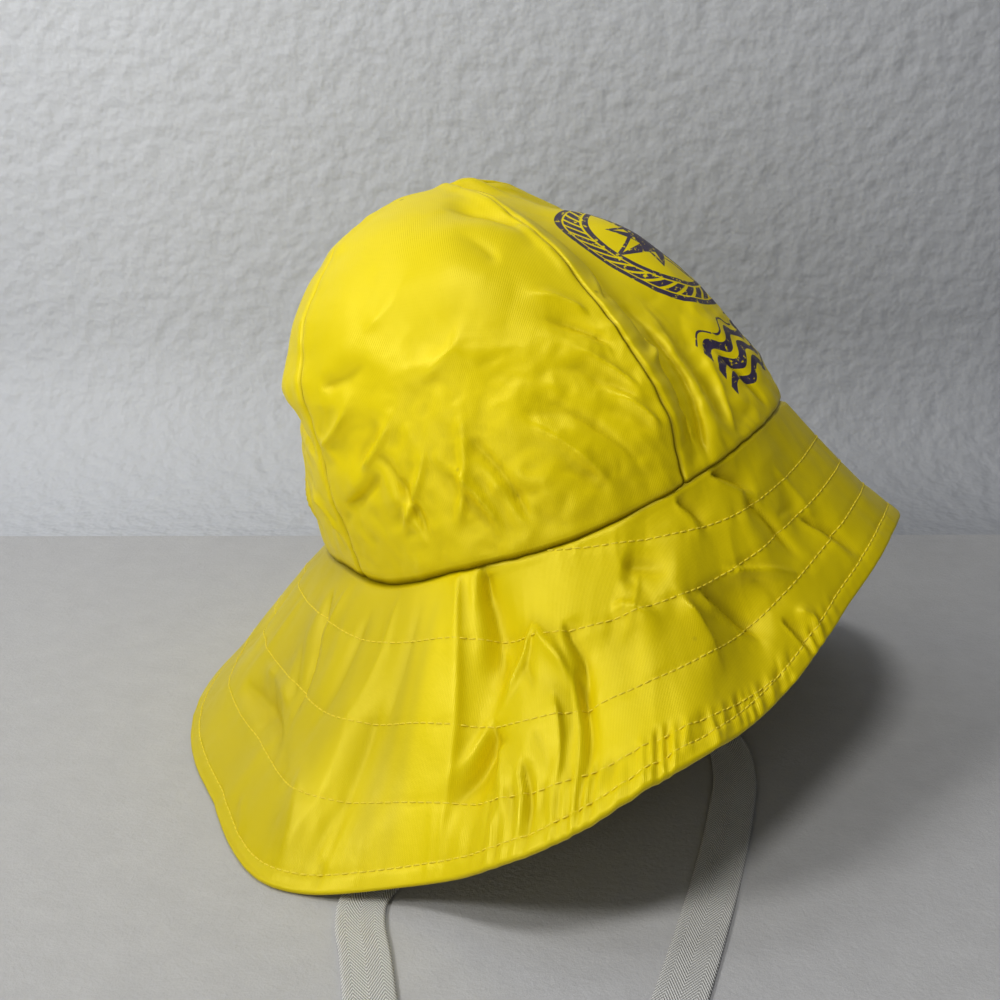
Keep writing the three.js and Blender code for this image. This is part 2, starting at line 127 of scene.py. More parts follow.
# Creases pressed into the brim, the same way; the second value of an end is its share of the fall line
BRIM_CREASES = (
    (94.5, 0.0, 93, 0.16, 1.6, -1.1), (91, 0.26, 86.5, 0.44, 2.0, 0.9), (85, 0.36, 82, 0.5, 1.8, -0.9),
    (80, 0.3, 77, 0.56, 2.4, 0.9), (74, 0.4, 76, 0.72, 2.6, -1.0), (92, 0.6, 84, 0.74, 3.2, -1.1),
    (86, 0.76, 89, 0.94, 2.8, 1.0), (82, 0.6, 79, 0.86, 2.6, -0.9), (66, 0.2, 60, 0.34, 3.0, -1.0),
    (62, 0.22, 68, 0.44, 2.6, 0.8), (56, 0.34, 52, 0.58, 2.4, 1.0), (52, 0.4, 46, 0.46, 2.2, -0.9),
    (50, 0.5, 43, 0.78, 2.4, -1.1), (46, 0.62, 38, 0.86, 2.2, 0.9), (39, 0.5, 33, 0.78, 2.4, -0.9),
    (33, 0.25, 28, 0.6, 2.4, 0.8), (27, 0.4, 19, 0.46, 2.0, -0.8), (22, 0.2, 18, 0.66, 2.4, 0.8),
    (108, 0.1, 112, 0.6, 3.0, -0.8), (115, 0.05, 118, 0.5, 3.2, 0.8), (122, 0.1, 126, 0.62, 3.0, -0.9),
    (133, 0.06, 136, 0.44, 2.6, 0.9), (141, 0.3, 133, 0.62, 2.6, -1.2), (137, 0.56, 128, 0.7, 2.2, 1.0),
    (146, 0.44, 138, 0.78, 2.6, -1.0), (152, 0.2, 156, 0.7, 3.0, 0.9),
    (113, 0.9, 111.5, 1.0, 1.8, -1.0), (133, 0.86, 128, 0.96, 2.0, 0.9),
    (170, 0.3, 176, 0.8, 3.4, -0.9), (192, 0.1, 188, 0.6, 3.4, 0.9), (222, 0.3, 228, 0.8, 3.2, -0.9),
    (262, 0.2, 258, 0.7, 3.0, 0.9), (288, 0.15, 292, 0.75, 3.0, -0.9), (318, 0.2, 314, 0.7, 2.8, 0.9),
    (345, 0.15, 349, 0.7, 2.6, -0.8),
)

# Wide folds of the brim, the same way, and the side that breaks off sharply: 1 at the back, -1 in front
BRIM_FORMS = (
    (95.5, -0.02, 89.0, 0.5, 10.0, -3.0, 1), (101, -0.1, 97, 1.1, 8.0, 1.8, -1),
    (83.5, 0.24, 89, 0.5, 4.5, 1.7, -1), (83.5, 0.24, 75.5, 0.54, 5.0, 2.2, -1),
    (77.5, 0.28, 73, 0.56, 6.0, -2.0, 1), (75.5, 0.46, 74.2, 0.92, 5.0, -2.2, 1),
    (79.5, 0.5, 79, 0.95, 5.0, 1.4, -1), (89.5, 0.54, 94.5, 0.78, 7.5, -2.8, 1),
    (88.5, 0.6, 86.5, 0.84, 4.0, 2.0, 0), (83.5, 0.7, 82, 0.97, 4.5, -1.6, 1),
    (65, 0.16, 55, 0.29, 6.0, -2.4, 0), (68, 0.28, 59, 0.44, 5.0, 1.8, -1),
    (51, 0.04, 45, 0.22, 5.0, -1.9, 1), (41, 0.02, 30, 0.24, 6.5, -2.6, 1),
    (34, 0.2, 26, 0.66, 5.0, -2.2, -1), (44.5, 0.4, 27, 0.72, 4.0, 1.7, -1),
    (50, 0.42, 40, 0.8, 7.0, -2.8, 1), (55, 0.4, 50, 0.76, 6.0, 1.8, -1),
    (35.5, 0.76, 33, 1.0, 2.6, -1.7, 1), (32, 0.78, 29, 1.0, 2.6, 1.3, 0),
    (21, 0.5, 14, 0.95, 5.0, -1.8, 1), (138, 0.1, 131, 0.62, 5.0, -2.2, -1),
    (152, 0.62, 124, 0.68, 4.5, -1.9, 0), (149, 0.5, 128, 0.58, 5.0, 1.5, 0),
    (112, 0.4, 116, 1.05, 7.0, -1.5, 0), (122, 0.62, 118, 1.05, 6.0, 1.3, 0),
    (168, 0.1, 172, 0.8, 8.0, -2.0, 0), (205, 0.0, 212, 0.7, 8.0, -2.4, 1),
    (262, 0.0, 270, 0.6, 9.0, -2.6, -1), (284, 0.2, 280, 0.95, 7.0, 2.0, 0),
    (302, 0.3, 310, 0.9, 6.0, -2.0, 0), (340, 0.2, 332, 0.8, 5.0, -1.8, 0),
)

# Spiral stitching of the brim from its start at the crown: azimuth, running back, and share of the fall line
SPIRAL_ROW = (
    (81, 0.0), (60, 0.107), (40, 0.23), (0, 0.31), (-30, 0.27), (-60, 0.215), (-90, 0.2),
    (-120, 0.2), (-160, 0.22), (-210, 0.2), (-245, 0.2), (-280, 0.29), (-300, 0.362),
    (-320, 0.43), (-360, 0.51), (-390, 0.47), (-420, 0.42), (-450, 0.41), (-480, 0.43),
    (-520, 0.47), (-570, 0.46), (-605, 0.46), (-640, 0.575), (-660, 0.62), (-680, 0.67),
    (-720, 0.71), (-750, 0.7), (-780, 0.64), (-810, 0.63), (-840, 0.65), (-880, 0.71),
    (-930, 0.71), (-965, 0.71), (-1000, 0.81), (-1020, 0.85), (-1040, 0.92),
)

# Middle line of each tie tape in mm, from the stitches inside the crown to its free end
RIGHT_TAPE_ROUTE = (
    (-6.75, -84.6, 103), (-6.87, -85.3, 94), (-8.5, -91, 60), (-10.5, -98, 26),
    (-12.2, -104.5, 8), (-14, -112, 1.6), (-17, -122, 0.6), (-21, -137, 0.6),
    (-23.5, -151, 0.6), (-20.5, -164, 0.6), (-14.5, -177, 0.6), (-6, -197, 0.6),
    (6, -226, 0.6), (18, -256, 0.6), (28, -288, 0.6), (35, -320, 0.6), (39, -352, 0.6),
    (40, -390, 0.6),
)
LEFT_TAPE_ROUTE = (
    (-17.5, 93.1, 92), (-17, 91.2, 81), (-14.8, 83, 52), (-12.4, 74, 22),
    (-10.6, 67.5, 7), (-8.4, 60, 1.5), (-4, 50, 0.6), (9, 34, 0.6), (33, 18, 0.6),
    (62, 2, 0.6), (80, -16, 0.6), (87, -42, 0.6), (88, -74, 0.6), (87, -108, 0.6),
    (85, -140, 0.6), (82, -176, 0.6), (78, -212, 0.6),
)

# Panel seams of the crown: azimuth at the brim and how far they sweep round on the way up
FRONT_SEAM, BACK_SEAM = (48, 22), (129, 0)
FAR_BACK_SEAM, FAR_FRONT_SEAM, NEAR_FRONT_SEAM = (231, 0), (312, -22), (-48, -22)


def a_length(name, description, default):
    return FloatProperty(name=name, description=description, default=default, unit="LENGTH")


def an_angle(name, description, default):
    return FloatProperty(name=name, description=description, default=default, subtype="ANGLE")


def a_colour(name, description, default):
    return FloatVectorProperty(name=name, description=description, default=default, subtype="COLOR", size=3)


class HatSizes(bpy.types.PropertyGroup):
    """Sizes of the rain hat"""

    head_circumference: a_length("Head circumference", "Length round the head opening", 0.59)
    crown_height: a_length("Crown height", "Height of the crown over its opening", 0.122)
    crown_cloth: a_length("Crown cloth", "Thickness of the crown's cloth", 0.0015)
    brim_width: a_length("Brim width", "Full width of the brim, from the seam to the rim", 0.099)
    brim_cloth: a_length("Brim cloth", "Thickness of the brim's two layers of cloth", 0.002)
    hem_width: a_length("Hem width", "Width of the turned hem", 0.0065)
    hem_cloth: a_length("Hem cloth", "Thickness of the turned hem", 0.003)
    opening_height: a_length("Opening height", "Height of the head opening over the table", 0.096)
    front_raise: an_angle("Front raise", "How far the hat's front is tipped up", math.radians(16.3))
    left_lean: an_angle("Left lean", "How far the hat leans to its left", math.radians(4.7))
    tape_width: a_length("Tape width", "Width of the tie tapes", 0.016)
    tape_thickness: a_length("Tape thickness", "Thickness of the tie tapes", 0.001)
    stitch_pitch: a_length("Stitch pitch", "Distance from stitch to stitch", 0.0031)
    thread: a_length("Thread", "Thickness of the sewing thread", 0.00056)
    weave_pitch: a_length("Weave pitch", "Distance between the threads of the base cloth", 0.0006)


class HatColours(bpy.types.PropertyGroup):
    """Colours of the rain hat and of the stage"""

    cloth: a_colour("Cloth", "Coated cloth", (0.86, 0.7, 0.003))
    # Greyish yellow of the streaks of painted shade down the brim's valleys
    cloth_streak_shade: a_colour("Cloth in painted shade", "Coated cloth in painted streaks of shade", (0.5, 0.41, 0.04))
    backing: a_colour("Backing", "Inside of the coated cloth", (0.72, 0.6, 0.09))
    binding: a_colour("Binding", "Bound seams inside the crown", (0.8, 0.74, 0.42))
    thread: a_colour("Thread", "Sewing thread", (0.95, 0.8, 0.07))
    ink: a_colour("Ink", "Print on the front panel", (0.016, 0.01, 0.11))
    tape: a_colour("Tape", "Cotton tie tapes", (0.92, 0.92, 0.9))
    table: a_colour("Table", "Table cover", (0.54, 0.54, 0.55))
    wall: a_colour("Wall", "Plain wall behind the hat", (0.68, 0.7, 0.74))
    wall_shade: a_colour("Wall in shade", "Far side and foot of the wall", (0.36, 0.37, 0.4))


def hat_sizes():
    return bpy.context.scene.hat_sizes


def hat_colours():
    return bpy.context.scene.hat_colours


# Smooth value between a start and an end; both slopes are over the whole span
def cubic(part, start, start_slope, end, end_slope):
    part2, part3 = part ** 2, part ** 3
    return ((2 * part3 - 3 * part2 + 1) * start + (part3 - 2 * part2 + part) * start_slope
            + (3 * part2 - 2 * part3) * end + (part3 - part2) * end_slope)


# Value of one column of a closed table of sections, smooth between its rows
def section_value(sections, column, azimuth):
    angle = np.asarray(azimuth, float) % 360
    knots = np.array([row[0] for row in sections], float)
    values = np.array([row[column] for row in sections], float)
    count = len(knots)
    row = np.searchsorted(knots, angle, side="right") - 1

    def at(place):
        turns = place // count
        return knots[place - turns * count] + 360 * turns, values[place - turns * count]

    (a0, v0), (a1, v1), (a2, v2), (a3, v3) = (at(row + step) for step in (-1, 0, 1, 2))
    span = a2 - a1
    slope1 = (v2 - v0) / (a2 - a0) * span
    slope2 = (v3 - v1) / (a3 - a1) * span
    return cubic((angle - a1) / span, v1, slope1, v2, slope2)


def bump(distance, half_width):
    return np.exp(-math.log(2) * (distance / half_width) ** 2)


def turn_between(a, b):
    return (a - b + 180) % 360 - 180


def smooth_step(value):
    part = np.clip(value, 0, 1)
    return part * part * (3 - 2 * part)


def head_radius():
    return hat_sizes().head_circumference / (2 * math.pi)


# The apex lies this far behind and to the right of the opening's middle
CROWN_LEAN_BACK, CROWN_LEAN_RIGHT = 14 * MM, 3 * MM
DENT_START = 0.05


# Outside of the crown; height is 0 at the brim and 1 at the apex
def crown_base(azimuth, height):
    angle = np.radians(azimuth)
    quarter = height * math.pi / 2
    draw_in = section_value(CROWN_SECTIONS, DRAW_IN, azimuth)
    inward = np.cos(np.minimum(quarter, math.pi / 2)).clip(0) ** draw_in
    upward = np.sin(quarter).clip(0) ** section_value(CROWN_SECTIONS, RISE, azimuth)
    bulge = section_value(CROWN_SECTIONS, BULGE, azimuth) * np.sin(math.pi * height)
    for az, middle, half_angle, half_height, slant, depth in CROWN_DENTS:
        across = turn_between(azimuth, az + slant * (height - middle))
        bulge = bulge + (depth * bump(across, half_angle) * bump(height - middle, half_height)
                         * np.minimum(1, height / DENT_START))
    radius = head_radius() * (inward + bulge)
    lift = head_radius() * section_value(BRIM_SECTIONS, LIFT, azimuth)
    return np.stack([
        radius * np.cos(angle) - CROWN_LEAN_BACK * (1 - inward),
        -radius * np.sin(angle) - CROWN_LEAN_RIGHT * (1 - inward),
        lift * (1 - upward) + hat_sizes().crown_height * upward,
    ], -1)


def brim_length(azimuth):
    return hat_sizes().brim_width * section_value(BRIM_SECTIONS, WIDTH, azimuth)


FALL_STEPS = 12


# Upper side of the brim; share is 0 at the crown and 1 at the rim
def brim_base(azimuth, share):
    azimuth, share = np.broadcast_arrays(np.asarray(azimuth, float), np.asarray(share, float))
    angle = np.radians(azimuth)
    heading = angle + np.radians(section_value(BRIM_SECTIONS, TURN, azimuth))
    top = section_value(BRIM_SECTIONS, SLOPE_TOP, azimuth)
    rim = section_value(BRIM_SECTIONS, SLOPE_RIM, azimuth)
    length = brim_length(azimuth)
    out, down, depth = (np.zeros_like(length) for _ in range(3))
    for step in range(FALL_STEPS):
        slope = np.radians(top + (rim - top) * share * (step + 0.5) / FALL_STEPS)
        out = out + np.cos(slope) * length * share / FALL_STEPS
        down = down + np.sin(slope) * length * share / FALL_STEPS
    for az, half_angle, fold, start, end in BRIM_FOLDS:
        along = np.sin(math.pi * np.clip((share - start) / (end - start), 0, 1))
        depth = depth + fold * bump(turn_between(azimuth, az), half_angle) * along
    depth = depth * hat_sizes().brim_width
    slope = np.radians(top + (rim - top) * share)
    out = out + depth * np.sin(slope)
    down = down - depth * np.cos(slope)
    return np.stack([
        head_radius() * np.cos(angle) + out * np.cos(heading),
        -head_radius() * np.sin(angle) - out * np.sin(heading),
        head_radius() * section_value(BRIM_SECTIONS, LIFT, azimuth) - down,
    ], -1)


# Steps by which a surface's slope is felt: share of its height or fall line, and degrees
SLOPE_STEP, SLOPE_ANGLE = 0.01, 0.5


# Outward normal of a surface whose second value runs down the hat in the given direction
def surface_normal(surface, azimuth, value, downward):
    lower = np.minimum(value + SLOPE_STEP, 1)
    upper = np.maximum(value - SLOPE_STEP, 0)
    around = surface(azimuth + SLOPE_ANGLE, value) - surface(azimuth - SLOPE_ANGLE, value)
    along = (surface(azimuth, lower) - surface(azimuth, upper)) * downward
    normal = np.cross(around, along)
    return normal / np.maximum(np.linalg.norm(normal, axis=-1, keepdims=True), 1e-12)


# Points of a pattern from their three coordinates, some of which may be single numbers
def at_points(*coordinates):
    return np.stack(np.broadcast_arrays(*coordinates), -1)


SEED_STRIDE = 7.31


# Turns the normals level at the seam between crown and brim, so that both pieces meet there
def level_at_seam(points, normals, share):
    level = points * [1, 1, 0]
    level = level / np.maximum(np.linalg.norm(level, axis=-1, keepdims=True), 1e-9)
    blend = smooth_step(share / 0.02)[..., None]
    return normals * blend + level * (1 - blend)


def noise_at(points, size, seed):
    flat = (points.reshape(-1, 3) / size + seed * SEED_STRIDE).tolist()
    return np.array([noise.noise(p) for p in flat]).reshape(points.shape[:-1])


FOLD_ROUNDING = 0.0004


# Crumpled cloth: flat facets that meet in ridges and valleys
def crumple(points, size, seed):
    shift = noise_at(points, size * 1.7, seed + 5)[..., None] * size * 0.7
    ridge = noise_at(points + shift, size, seed)
    valley = noise_at(points - shift, size * 1.15, seed + 9)
    return 1.6 * (np.sqrt(valley ** 2 + FOLD_ROUNDING) - np.sqrt(ridge ** 2 + FOLD_ROUNDING))


# Sharp ridge of height 1
def fold_line(distance, half_width):
    return np.exp(0.26 - 1.05 * np.sqrt((distance / half_width) ** 2 + 0.06))


# Ridges and grooves that start at one point and spread out and fade towards another
def creases(table, azimuth, value, radius, length, narrow=1.0):
    total = np.zeros(np.broadcast(azimuth, value).shape)
    for row in table:
        az0, value0, az1, value1, half_width, depth, side = (*row, 0)[:7]
        run = np.array([math.radians(az1 - az0) * radius, (value1 - value0) * length])
        size = np.hypot(*run)
        x = np.radians(turn_between(azimuth, az0)) * radius
        y = (value - value0) * length
        along = (x * run[0] + y * run[1]) / size ** 2
        across = (x * run[1] - y * run[0]) / size
        bend = across + 0.06 * size * np.sin(math.pi * np.clip(along, 0, 1))
        width = half_width * narrow * MM * (0.5 + 0.8 * np.clip(along, 0, 1))
        width = width * np.where(bend * side > 0, 0.28, 1)
        end = smooth_step((along + 0.06) / 0.24) * smooth_step((1.06 - along) / 0.55)
        total += depth * MM * end * (fold_line(bend, width) - 0.3 * bump(bend - 2.6 * width, width * 1.4))
    return total


def seam_azimuth(seam, height):
    return seam[0] + seam[1] * height ** 2


def ring_radius(height):
    return np.maximum(0.4 * MM, head_radius() * np.cos(height * math.pi / 2))


# Length of the cloth from the brim to the apex
def crown_span():
    return head_radius() * 1.75


# Crumples of the crown: size, seed, depth in mm all over and what is added low down
CROWN_CRUMPLES = ((0.034, 1, 0.6, 0.5), (0.0145, 2, 0.06, 0.55), (0.0075, 7, 0.03, 0.3))

# Waves along the crown's seams: size, seed, stretch across, depth in mm and reach
SEAM_WAVES = ((0.0062, 4, 0.35, 0.55, 0.006), (0.016, 6, 0.3, 1.5, 0.013))

# Depth and half width in mm of the grooves that the stitches pull into the cloth
CROWN_SEAM_GROOVE, WAIST_GROOVE = (1.25, 0.75), (0.9, 0.7)
BRIM_SEAM_GROOVE, ROW_GROOVE = (0.9, 0.9), (0.25, 1.2)
CROWN_CREASE_RADIUS, CROWN_CREASE_WIDTH, CROWN_CREASE_DEPTH = 0.93, 0.72, 2.5
FRONT_CORNER = 7.5


def groove(distance, form):
    depth, half_width = form
    return depth * MM * np.exp(-(distance / (half_width * MM)) ** 2)


# What sewing and wear do to a crown panel, out along its normal
def crown_detail(azimuth, height, points, from_edge, to_edge, seams):
    up = height * crown_span()
    edge = np.minimum(from_edge, to_edge)
    low = 1 - smooth_step((height - 0.2) / 0.24)
    top = smooth_step((1 - height) / 0.12)
    detail = noise_at(points, 0.055, 3) * 1.8 * MM * top
    for size, seed, depth, more in CROWN_CRUMPLES:
        detail += crumple(points, size, seed) * (depth + more * low) * MM * top
    radius = head_radius() * CROWN_CREASE_RADIUS
    pressed = creases(CROWN_CREASES, azimuth, height, radius, crown_span(), CROWN_CREASE_WIDTH)
    detail += pressed * CROWN_CREASE_DEPTH
    for distance, (seam, side) in zip((from_edge, to_edge), seams):
        for size, seed, stretch, depth, reach in SEAM_WAVES:
            wave = noise_at(at_points(up, distance * stretch, seam[0]), size, seed)
            detail += wave * depth * MM * np.exp(-distance / reach) * top
        raised = smooth_step((height - 0.34) / 0.2) if seam[1] else np.full_like(height, 0.35)
        ridge = bump(distance - 2.6 * MM, 1.9 * MM) * (1.1 if side else 0.35) * MM
        detail += ridge * raised * top
        if seam[1]:
            strength = smooth_step(height / 0.12) * (1 - 0.5 * smooth_step((height - 0.6) / 0.3))
            if side:
                corner = FRONT_CORNER * np.exp(-distance / (30 * MM))
            else:
                corner = (FRONT_CORNER * (1 - smooth_step(distance / (34 * MM)))
                          - 3.5 * bump(distance - 38 * MM, 15 * MM))
            detail += corner * MM * strength * top
    detail -= groove(edge, CROWN_SEAM_GROOVE)
    detail += 0.5 * MM * np.exp(-up / (7 * MM)) - groove(up, WAIST_GROOVE)
    pucker = noise_at(at_points(np.radians(azimuth) * head_radius(), up * 0.3, 0), 0.0075, 8)
    return detail + pucker * 0.6 * MM * np.exp(-up / (8 * MM)) * (1 - np.exp(-(up / (1.5 * MM)) ** 2))


# Share of the fall line that the spiral stitching has reached at an azimuth that runs back
def smooth_row(turn):
    xs = np.array([-row[0] for row in SPIRAL_ROW], float)
    ys = np.array([row[1] for row in SPIRAL_ROW], float)
    slopes = np.gradient(ys, xs)
    x = -np.asarray(turn, float)
    i = np.clip(np.searchsorted(xs, x, side="right") - 1, 0, len(xs) - 2)
    span = xs[i + 1] - xs[i]
    part = np.clip((x - xs[i]) / span, 0, 1)
    value = cubic(part, ys[i], slopes[i] * span, ys[i + 1], slopes[i + 1] * span)
    return np.where((x >= xs[0]) & (x <= xs[-1]), value, np.nan)


def hem_share(azimuth):
    return 1 - hat_sizes().hem_width / brim_length(azimuth)


SPIRAL_TURNS = 4


# Distance to the nearest row of stitches, down the fall line
def row_distance(azimuth, share):
    length = brim_length(azimuth)
    distance = np.abs(share - hem_share(azimuth)) * length
    for turn in range(SPIRAL_TURNS):
        row = smooth_row(np.asarray(azimuth) % 360 - 360 * turn)
        distance = np.fmin(distance, np.abs(share - row) * length)
    return distance


# Gathered stretches of the hem: azimuth, half angle and strength
GATHERS, GATHERS_ALL_ROUND = ((62, 16, 1), (34, 5, 0.8), (128, 12, 0.3)), 0.12


# Where the hem is gathered, from the last row of the spiral to the rim
def gather_mask(azimuth, share):
    near = GATHERS_ALL_ROUND + sum(strength * bump(turn_between(azimuth, middle), half_angle)
                                   for middle, half_angle, strength in GATHERS)
    row = np.clip(smooth_row(np.asarray(azimuth) % 360 - (SPIRAL_TURNS - 1) * 360), 0.8, 0.95)
    row = np.where(np.isnan(row), 0.9, row)
    return near * smooth_step((share - row + 0.06) / 0.07) * (1 - 0.55 * smooth_step((share - 0.95) / 0.05))


# Mean radii at which the brim's cloth and its creases are unrolled, and the gathers' distance
BRIM_RADIUS, CREASE_RADIUS, TUCK_PITCH = 0.135, 0.132, 0.0053
GATHERS_END = 112


# What sewing and wear do to the brim, out along its normal
def brim_detail(azimuth, share, points):
    width = hat_sizes().brim_width
    length = brim_length(azimuth)
    down = share * length
    rim = (1 - share) * length
    arc = np.radians(azimuth) * BRIM_RADIUS
    calm = 1 - 0.6 * bump(turn_between(azimuth, 99), 4)
    lengthways = at_points(arc, down * 0.5, 0)
    detail = crumple(lengthways, 0.026, 11) * 0.8 * MM * calm
    detail += crumple(lengthways, 0.0105, 12) * 0.1 * MM
    detail += noise_at(points, 0.045, 13) * 1.6 * MM
    for table, strength in ((BRIM_CREASES, 0.9), (BRIM_FORMS, 1.45)):
        detail += creases(table, azimuth, share, CREASE_RADIUS, width) * strength
    rows = row_distance(azimuth, share)
    pucker = noise_at(at_points(arc, down * 0.3, 0), 0.0042, 14)
    detail += pucker * 0.35 * MM * np.exp(-rows / (3 * MM)) - groove(rows, ROW_GROOVE)
    pleats = crumple(at_points(arc, down * 0.22, 0), 0.007, 15)
    phase = arc / TUCK_PITCH + 1.1 * noise_at(at_points(arc, down * 0.4, 0), 0.016, 17)
    height = 0.6 + 0.9 * noise_at(at_points(arc, 0 * down, 0), 0.011, 18)
    tucks = (0.5 - 2 * np.abs(phase % 1 - 0.5)) * height
    gathered = gather_mask(azimuth, share) * (1 - smooth_step((azimuth - GATHERS_END) / 14))
    detail += (pleats * 1.5 + tucks * 2.3) * MM * gathered
    detail *= smooth_step(down / (3 * MM)) * (1 - 0.5 * bump(turn_between(azimuth, 106), 5))
    detail -= groove(down, BRIM_SEAM_GROOVE)
    return detail + 0.25 * MM * smooth_step((hat_sizes().hem_width - rim) / (1 * MM))


# Turn of the hat: its front is raised and it leans to its left
def tilt():
    lean, rise = -hat_sizes().left_lean, -hat_sizes().front_raise
    about_x = [[1, 0, 0], [0, math.cos(lean), -math.sin(lean)], [0, math.sin(lean), math.cos(lean)]]
    about_y = [[math.cos(rise), 0, math.sin(rise)], [0, 1, 0], [-math.sin(rise), 0, math.cos(rise)]]
    return np.array(about_x) @ np.array(about_y)


# Level place of the hat, found once from the solid brim
def hat_shift():
    if "place" not in SHIFT:
        rim = brim_base(np.arange(0, 360, 3.0)[:, None], np.array([[0, 0.5, 1.0]])) @ tilt().T
        low, high = (np.array(corner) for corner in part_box("brim"))
        middle = (low + high) / 2 - (rim.reshape(-1, 3).min(0) + rim.reshape(-1, 3).max(0)) / 2
        SHIFT["place"] = np.array([middle[0], middle[1], 0])
    return SHIFT["place"]


SHIFT = {}


def in_pose(points):
    return points @ tilt().T + np.array([0, 0, hat_sizes().opening_height]) + hat_shift()


# Outer and inner side of the cloth in the hat's pose; cloth that would sink into the table lies on it
def on_table(outer, inner):
    outer, inner = in_pose(outer), in_pose(inner)
    sunk = -np.minimum(outer[..., 2], inner[..., 2])
    lift = 0.5 * (sunk + np.sqrt(sunk * sunk + (0.8 * MM) ** 2)) * smooth_step((sunk + 6 * MM) / (6 * MM))
    outer[..., 2] += np.maximum(lift, 0)
    inner[..., 2] += np.maximum(lift, 0)
    return outer, inner


def deselect_all():
    for thing in bpy.context.selected_objects:
        thing.select_set(False)


def new_object(name, mesh, material):
    thing = bpy.data.objects.new(name, mesh)
    bpy.context.scene.collection.objects.link(thing)
    mesh.materials.append(material)
    mesh.polygons.foreach_set("use_smooth", [True] * len(mesh.polygons))
    return thing


# Closed wall between two grids of points, whose columns run round the hat and rows down it
def wall_mesh(name, outer, inner, spots, values, closes_round):
    columns, rows = outer.shape[:2]
    vertices = np.concatenate([outer.reshape(-1, 3), inner.reshape(-1, 3)])
    spans = columns if closes_round else columns - 1
    i, j = (grid.ravel() for grid in np.meshgrid(np.arange(spans), np.arange(rows - 1), indexing="ij"))

    def corner(column, row, inside):
        return (column % columns) * rows + row + (columns * rows if inside else 0)

    faces, places = [], []

    def quads(*corners):
        faces.append(np.stack([corner(c, r, side) for c, r, side in corners], -1))
        places.append(np.stack([spots[c, r] for c, r, side in corners], 1))

    quads((i, j, 0), (i + 1, j, 0), (i + 1, j + 1, 0), (i, j + 1, 0))
    quads((i, j, 1), (i, j + 1, 1), (i + 1, j + 1, 1), (i + 1, j, 1))
    i = np.arange(spans)
    first, last = np.zeros(spans, int), np.full(spans, rows - 1)
    quads((i, first, 0), (i, first, 1), (i + 1, first, 1), (i + 1, first, 0))
    quads((i, last, 0), (i + 1, last, 0), (i + 1, last, 1), (i, last, 1))
    if not closes_round:
        j = np.arange(rows - 1)
        start, end = np.zeros(rows - 1, int), np.full(rows - 1, columns - 1)
        quads((start, j, 0), (start, j + 1, 0), (start, j + 1, 1), (start, j, 1))
        quads((end, j, 0), (end, j, 1), (end, j + 1, 1), (end, j + 1, 0))
    faces = np.concatenate(faces)
    mesh = bpy.data.meshes.new(name)
    mesh.from_pydata(vertices.tolist(), [], faces.tolist())
    layer = mesh.uv_layers.new(name="cloth")
    layer.data.foreach_set("uv", np.concatenate(places).reshape(-1).astype(np.float32))
    for label, grid in values.items():
        both = np.concatenate([grid.reshape(-1), grid.reshape(-1)]).astype(np.float32)
        mesh.attributes.new(label, "FLOAT", "POINT").data.foreach_set("value", both)
    inside = np.repeat([0.0, 1.0], columns * rows).astype(np.float32)
    mesh.attributes.new("inside", "FLOAT", "POINT").data.foreach_set("value", inside)
    return mesh


# Closes a panel at the apex, or turns the faces of a tape outwards
def mend_mesh(mesh, is_panel):
    cloth = bmesh.new()
    cloth.from_mesh(mesh)
    if is_panel:
        bmesh.ops.remove_doubles(cloth, verts=cloth.verts, dist=2e-6)
        bmesh.ops.dissolve_degenerate(cloth, edges=cloth.edges, dist=1e-7)
    else:
        bmesh.ops.recalc_face_normals(cloth, faces=cloth.faces)
    cloth.to_mesh(mesh)
    cloth.free()


# How many points away and how deep a hollow counts
HOLLOW_REACH, HOLLOW_DEPTH = 10, 0.5 * MM


# Hollowness of the cloth: the material paints shade into the hollows and makes them a little rougher, and
# high folds are rubbed smoother
def hollow_shade_values(detail):
    blur = detail.copy()
    for _ in range(HOLLOW_REACH):
        blur[1:-1] = (blur[:-2] + blur[1:-1] * 2 + blur[2:]) / 4
        blur[:, 1:-1] = (blur[:, :-2] + blur[:, 1:-1] * 2 + blur[:, 2:]) / 4
    return np.clip((blur - detail) / HOLLOW_DEPTH, -1, 1)


# Distance of the crown's points, and width and thickness of the bindings over its inner seams
CROWN_STEP = 0.92 * MM
WELT_WIDTH, BAND_WIDTH, BINDING_THICKNESS, BINDING_EDGE = 5.5 * MM, 8 * MM, 1.3 * MM, 0.9 * MM


